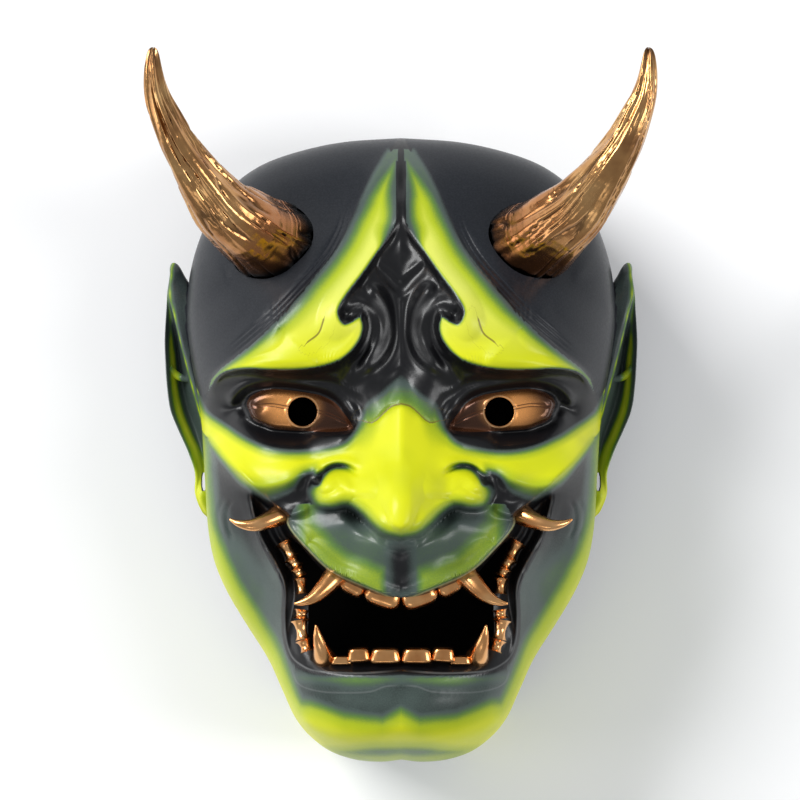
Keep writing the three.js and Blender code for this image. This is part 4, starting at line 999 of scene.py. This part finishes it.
# Each line with its strength, partly dry-brushed paint and partly a painted highlight: one above 0 is light lime,
# one below it grey
LIT_LINES = [(LIP, -0.3), (LOWER_LIP, -0.22), (MUZZLE, 0.35)]
nearest, strength = np.full(x.shape, 9.0), np.zeros(x.shape)
for line, bright in LIT_LINES:
    d, side, part = near(line, half, y, 5)
    closer = (d < np.abs(nearest)) & (d < 1.6)
    nearest = np.where(closer, d * side, nearest)
    strength = np.where(closer, bright * ends(part, 0.1, 0.1), strength)
measure(casting, "lit_line", np.where(on_ear | within, 9.0, nearest))
measure(casting, "lit", strength)
measure(casting, "eye", np.where(on_ear | within | (z > 95), -9, inside(EYE, half, y, 20)))
measure(casting, "from_pupil", np.hypot(half - PUPIL[0], y - PUPIL[1]))
# Painted highlight on the eyeball: the distance from a bright spot beside the pupil
measure(casting, "from_eye_highlight", np.hypot((half - 41.5) / 1.15, (y + 1.2) / 0.85))
d, side, _ = near(EYE_LINE, half, y, 6)
measure(casting, "eye_line", np.where(d < 6, d * side, 9))
d, side, part = near(STRAND, half, y, 300)
measure(casting, "strand", -d * side)
measure(casting, "combed", ends(part, 0.25, 0.25) * ~on_ear * ~within)
# Painted shade: a dark line along the cuts of the wing's dash and of the scallop
d, side, _ = near(WING_DASH, half, y, 5)
edge, over, part = near(SCALLOP, half, y, 5)
d, side = np.where(edge < d, edge + 0.2 * (1 - part), d), np.where(edge < d, over, side)
measure(casting, "groove_shade_line", np.where(d < 5, d * side, 9))

pot = Paint("lacquer", 0.3)
lacquer = pot.material
pot.shader.inputs["Specular IOR Level"].default_value = 0.28
speckle = pot.maths("MULTIPLY", pot.maths("SUBTRACT", pot.noise(2100, 1.0), 0.5), 0.32)
drift = pot.maths("MULTIPLY", pot.maths("SUBTRACT", pot.noise(60, 2.0), 0.5), 0.5)
amount = pot.maths("ADD", pot.reading("lime"), pot.maths("ADD", speckle, drift))
charcoal = pot.mix(pot.span(pot.noise(1500, 2.0), 0.35, 0.7), (0.008, 0.010, 0.014), (0.014, 0.016, 0.021))
ground = pot.mix(pot.span(pot.reading("satin"), -0.4, 0.8), (0.004, 0.004, 0.005), charcoal)
teal = pot.mix(pot.span(amount, -1.3, -0.55), ground, (0.062, 0.088, 0.078))
green = pot.mix(pot.span(amount, -0.65, 0.15), teal, (0.10, 0.20, 0.035))
bright = pot.mix(pot.span(pot.noise(34, 2.0), 0.35, 0.68), (0.58, 0.62, 0.006), (0.70, 0.72, 0.008))
# Painted sheen: a paler yellow over the wings' upper middle, standing in for a highlight
bright = pot.mix(pot.maths("MULTIPLY", pot.reading("pale_sheen"), 0.7), bright, (0.68, 0.73, 0.16))
bright = pot.mix(pot.span(amount, 0.6, 2.4), (0.38, 0.47, 0.01), bright)
painted = pot.mix(pot.span(amount, -0.1, 0.95), green, bright)
# Painted highlight, partly dry-brushed: thin light lines along the lip, lower lip and muzzle crests
highlight_line_colour = pot.mix(pot.span(pot.reading("lit"), -0.05, 0.05), (0.24, 0.25, 0.25), (0.83, 0.88, 0.42))
highlight_line_on = pot.line(pot.reading("lit_line"), 0.0, 0.1, 0.55, 1.0)
painted = pot.mix(pot.maths("MULTIPLY", highlight_line_on, pot.maths("ABSOLUTE", pot.reading("lit"))), painted, highlight_line_colour)
# Painted shade in the cuts of the wing's dash and the scallop, as a dark olive line
painted = pot.mix(pot.line(pot.reading("groove_shade_line"), 0.0, 0.15, 0.5, 0.8), painted, (0.16, 0.11, 0.02))
# The eyeball is painted bright copper beside the pupil, a painted highlight, and dark towards its corners, painted
# shade
copper = pot.mix(pot.span(pot.reading("from_eye_highlight"), 3.0, 12.5), (0.80, 0.34, 0.10), (0.05, 0.02, 0.01))
# Painted shade: the eyeball darkens along its edge, under the lids
copper = pot.mix(pot.span(pot.reading("eye"), 0.1, 2.2, 0.75, 0.0), copper, (0.12, 0.04, 0.015))
off_eye_line = pot.maths("ABSOLUTE", pot.reading("eye_line"))
copper = pot.mix(pot.line(off_eye_line, 0.55, 0.08, 0.3, 0.85), copper, (0.09, 0.03, 0.012))
# Painted highlight: a bright ring on the pupil's rim
copper = pot.mix(pot.line(pot.reading("from_pupil"), 6.0, 0.1, 0.35, 0.4), copper, (0.8, 0.5, 0.26))
eye_on = pot.span(pot.reading("eye"), -0.12, 0.12)
pot.feed("Base Color", pot.mix(eye_on, painted, copper))
pot.feed("Metallic", pot.maths("MULTIPLY", eye_on, 0.6))
rough = pot.maths("ADD", pot.span(pot.noise(800, 2.0), 0.3, 0.7, 0.33, 0.39),
                  pot.span(pot.reading("satin"), -0.4, 0.8, 0.0, 0.04))
rough = pot.maths("ADD", rough, pot.span(amount, -0.6, 0.5, 0.0, 0.05))
pot.feed("Roughness", pot.maths("ADD", rough, pot.maths("MULTIPLY", eye_on, -0.1)))
pot.feed("Coat Weight", pot.maths("MULTIPLY", pot.span(pot.reading("satin"), -0.6, 0.3, 0.22, 0.1),
                                  pot.span(amount, -0.6, 0.5, 1.0, 0.4)))
strands = [pot.line(pot.reading("strand"), middle, 0.1, 0.75, 1.0) for middle in STRAND_STEPS]
combed = pot.maths("MAXIMUM", pot.maths("MAXIMUM", *strands[:2]), strands[2])
combed = pot.maths("MULTIPLY", combed, pot.reading("combed"))
pot.bump(pot.maths("SUBTRACT", pot.maths("MULTIPLY", pot.noise(900, 2.0), 0.05), combed), 0.3, 0.0006)

pot = Paint("tooth_bronze", 0.2, 1.0, 0.3)
tooth_bronze = pot.material
pot.feed("Base Color", pot.ramp(pot.noise(120, 2.0), [(0.3, (0.62, 0.27, 0.09)), (0.52, (0.78, 0.38, 0.14)),
                                                      (0.72, (0.85, 0.47, 0.2))]))
pot.feed("Roughness", pot.span(pot.noise(300, 2.0), 0.3, 0.7, 0.2, 0.27))
pot.bump(pot.noise(400, 1.0), 0.05, 0.0002)

for piece, coat in ((casting, lacquer), (teeth, tooth_bronze)):
    piece.data.materials.clear()
    piece.data.materials.append(coat)
    piece.data.polygons.foreach_set("material_index", [0] * len(piece.data.polygons))
# The dark ring at a horn's foot is wider on the wearer's right, as in the photograph
for name, horn in horns.items():
    px, py, pz = drawn_places(horn).T
    base = relief(px, py, np.hypot(px, py - CENTRE_Y) / reach_at(np.arctan2(np.abs(px), py - CENTRE_Y)))
    tip = 0.45 * np.clip((py - 124) / 7, 0, 1)
    ring_width = 2.2 if name == "horn_right" else 7.0
    measure(horn, "seam", np.maximum(np.clip(1.3 - (pz - base) / ring_width, 0, 1), tip))
SHARP_FROM = math.radians(76)
for piece in (casting, teeth, *horns.values()):
    piece.data.shade_smooth()
    piece.data.set_sharp_from_angle(angle=SHARP_FROM)
    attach(piece, "root")
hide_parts("mask_shell")
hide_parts("mask_shell")
for name, horn in horns.items():
    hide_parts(name)


# The set: a pale table under soft light, and a black card inside the rim that stands in for the shade in
# the hollow, so that the pupils and the mouth look into the dark, as they do in the photograph.

def sheet_of(name, corners, height):
    mesh = bpy.data.meshes.new(name)
    mesh.from_pydata([(px, py, height) for px, py in corners], [], [tuple(range(len(corners)))])
    return new_piece(name, mesh)


TABLE_HALF = 3
CARD_HEIGHT = 0.0006
CARD_SHARE = 0.9
table_top = sheet_of("table_top", [(a * TABLE_HALF, b * TABLE_HALF) for a, b in
                                   ((-1, -1), (1, -1), (1, 1), (-1, 1))], 0.0)
pot = Paint("table_paint", 0.55)
pot.feed("Base Color", pot.mix(pot.noise(6, 3.0), (0.93, 0.93, 0.935), (0.95, 0.95, 0.95)))
pot.bump(pot.noise(300, 3.0), 0.03, 0.0005)
table_top.data.materials.append(pot.material)
# The black card is a sheet of painted shade, where the hollow under the mask is dark
card_edge = np.vstack([OUTLINE, OUTLINE[-2:0:-1] * [-1, 1]])[::-1]
card_edge = (card_edge - [0, CENTRE_Y]) * CARD_SHARE + [0, CENTRE_Y + shift_y]
card = sheet_of("black_card", card_edge / 1000, CARD_HEIGHT)
pot = Paint("hollow_shade_black", 0.9)
pot.feed("Base Color", pot.mix(pot.noise(200, 2.0), (0.002, 0.002, 0.002), (0.004, 0.004, 0.004)))
card.data.materials.append(pot.material)

world = bpy.data.worlds.new("studio")
bpy.context.scene.world = world
world.use_nodes = True
room = world.node_tree.nodes["Background"].inputs
room["Color"].default_value, room["Strength"].default_value = (0.93, 0.96, 1.0, 1), 0.4


AIM = Vector((0, 0, 0.06))


def soft_box(name, place, size, power):
    lamp = bpy.data.lights.new(name, "AREA")
    lamp.shape, lamp.size, lamp.size_y, lamp.energy = "RECTANGLE", size[0], size[1], power
    holder = bpy.data.objects.new(name, lamp)
    bpy.context.scene.collection.objects.link(holder)
    holder.location = place
    holder.rotation_euler = (AIM - holder.location).to_track_quat("-Z", "Y").to_euler()


soft_box("key", (-2.25, 1.8, 2.4), (1.95, 1.35), 125)
soft_box("side", (-1.6, -0.2, 0.5), (0.4, 1.2), 4)
soft_box("fill", (2.7, -0.2, 2.4), (1.05, 2.1), 47)
soft_box("front", (-0.4, -2.0, 1.9), (1.2, 0.5), 3)

# A long lens straight above, centred on the photograph's own middle
PHOTO_MIDDLE = (-0.38, 1.9)
camera_data = bpy.data.cameras.new("camera")
camera_data.sensor_width, camera_data.lens, camera_data.clip_end = 36, 289, 10
camera = bpy.data.objects.new("camera", camera_data)
bpy.context.scene.collection.objects.link(camera)
camera.location = (PHOTO_MIDDLE[0] / 1000, (PHOTO_MIDDLE[1] + shift_y) / 1000, 2.5)
bpy.context.scene.camera = camera
bpy.context.scene.view_settings.view_transform = "Standard"
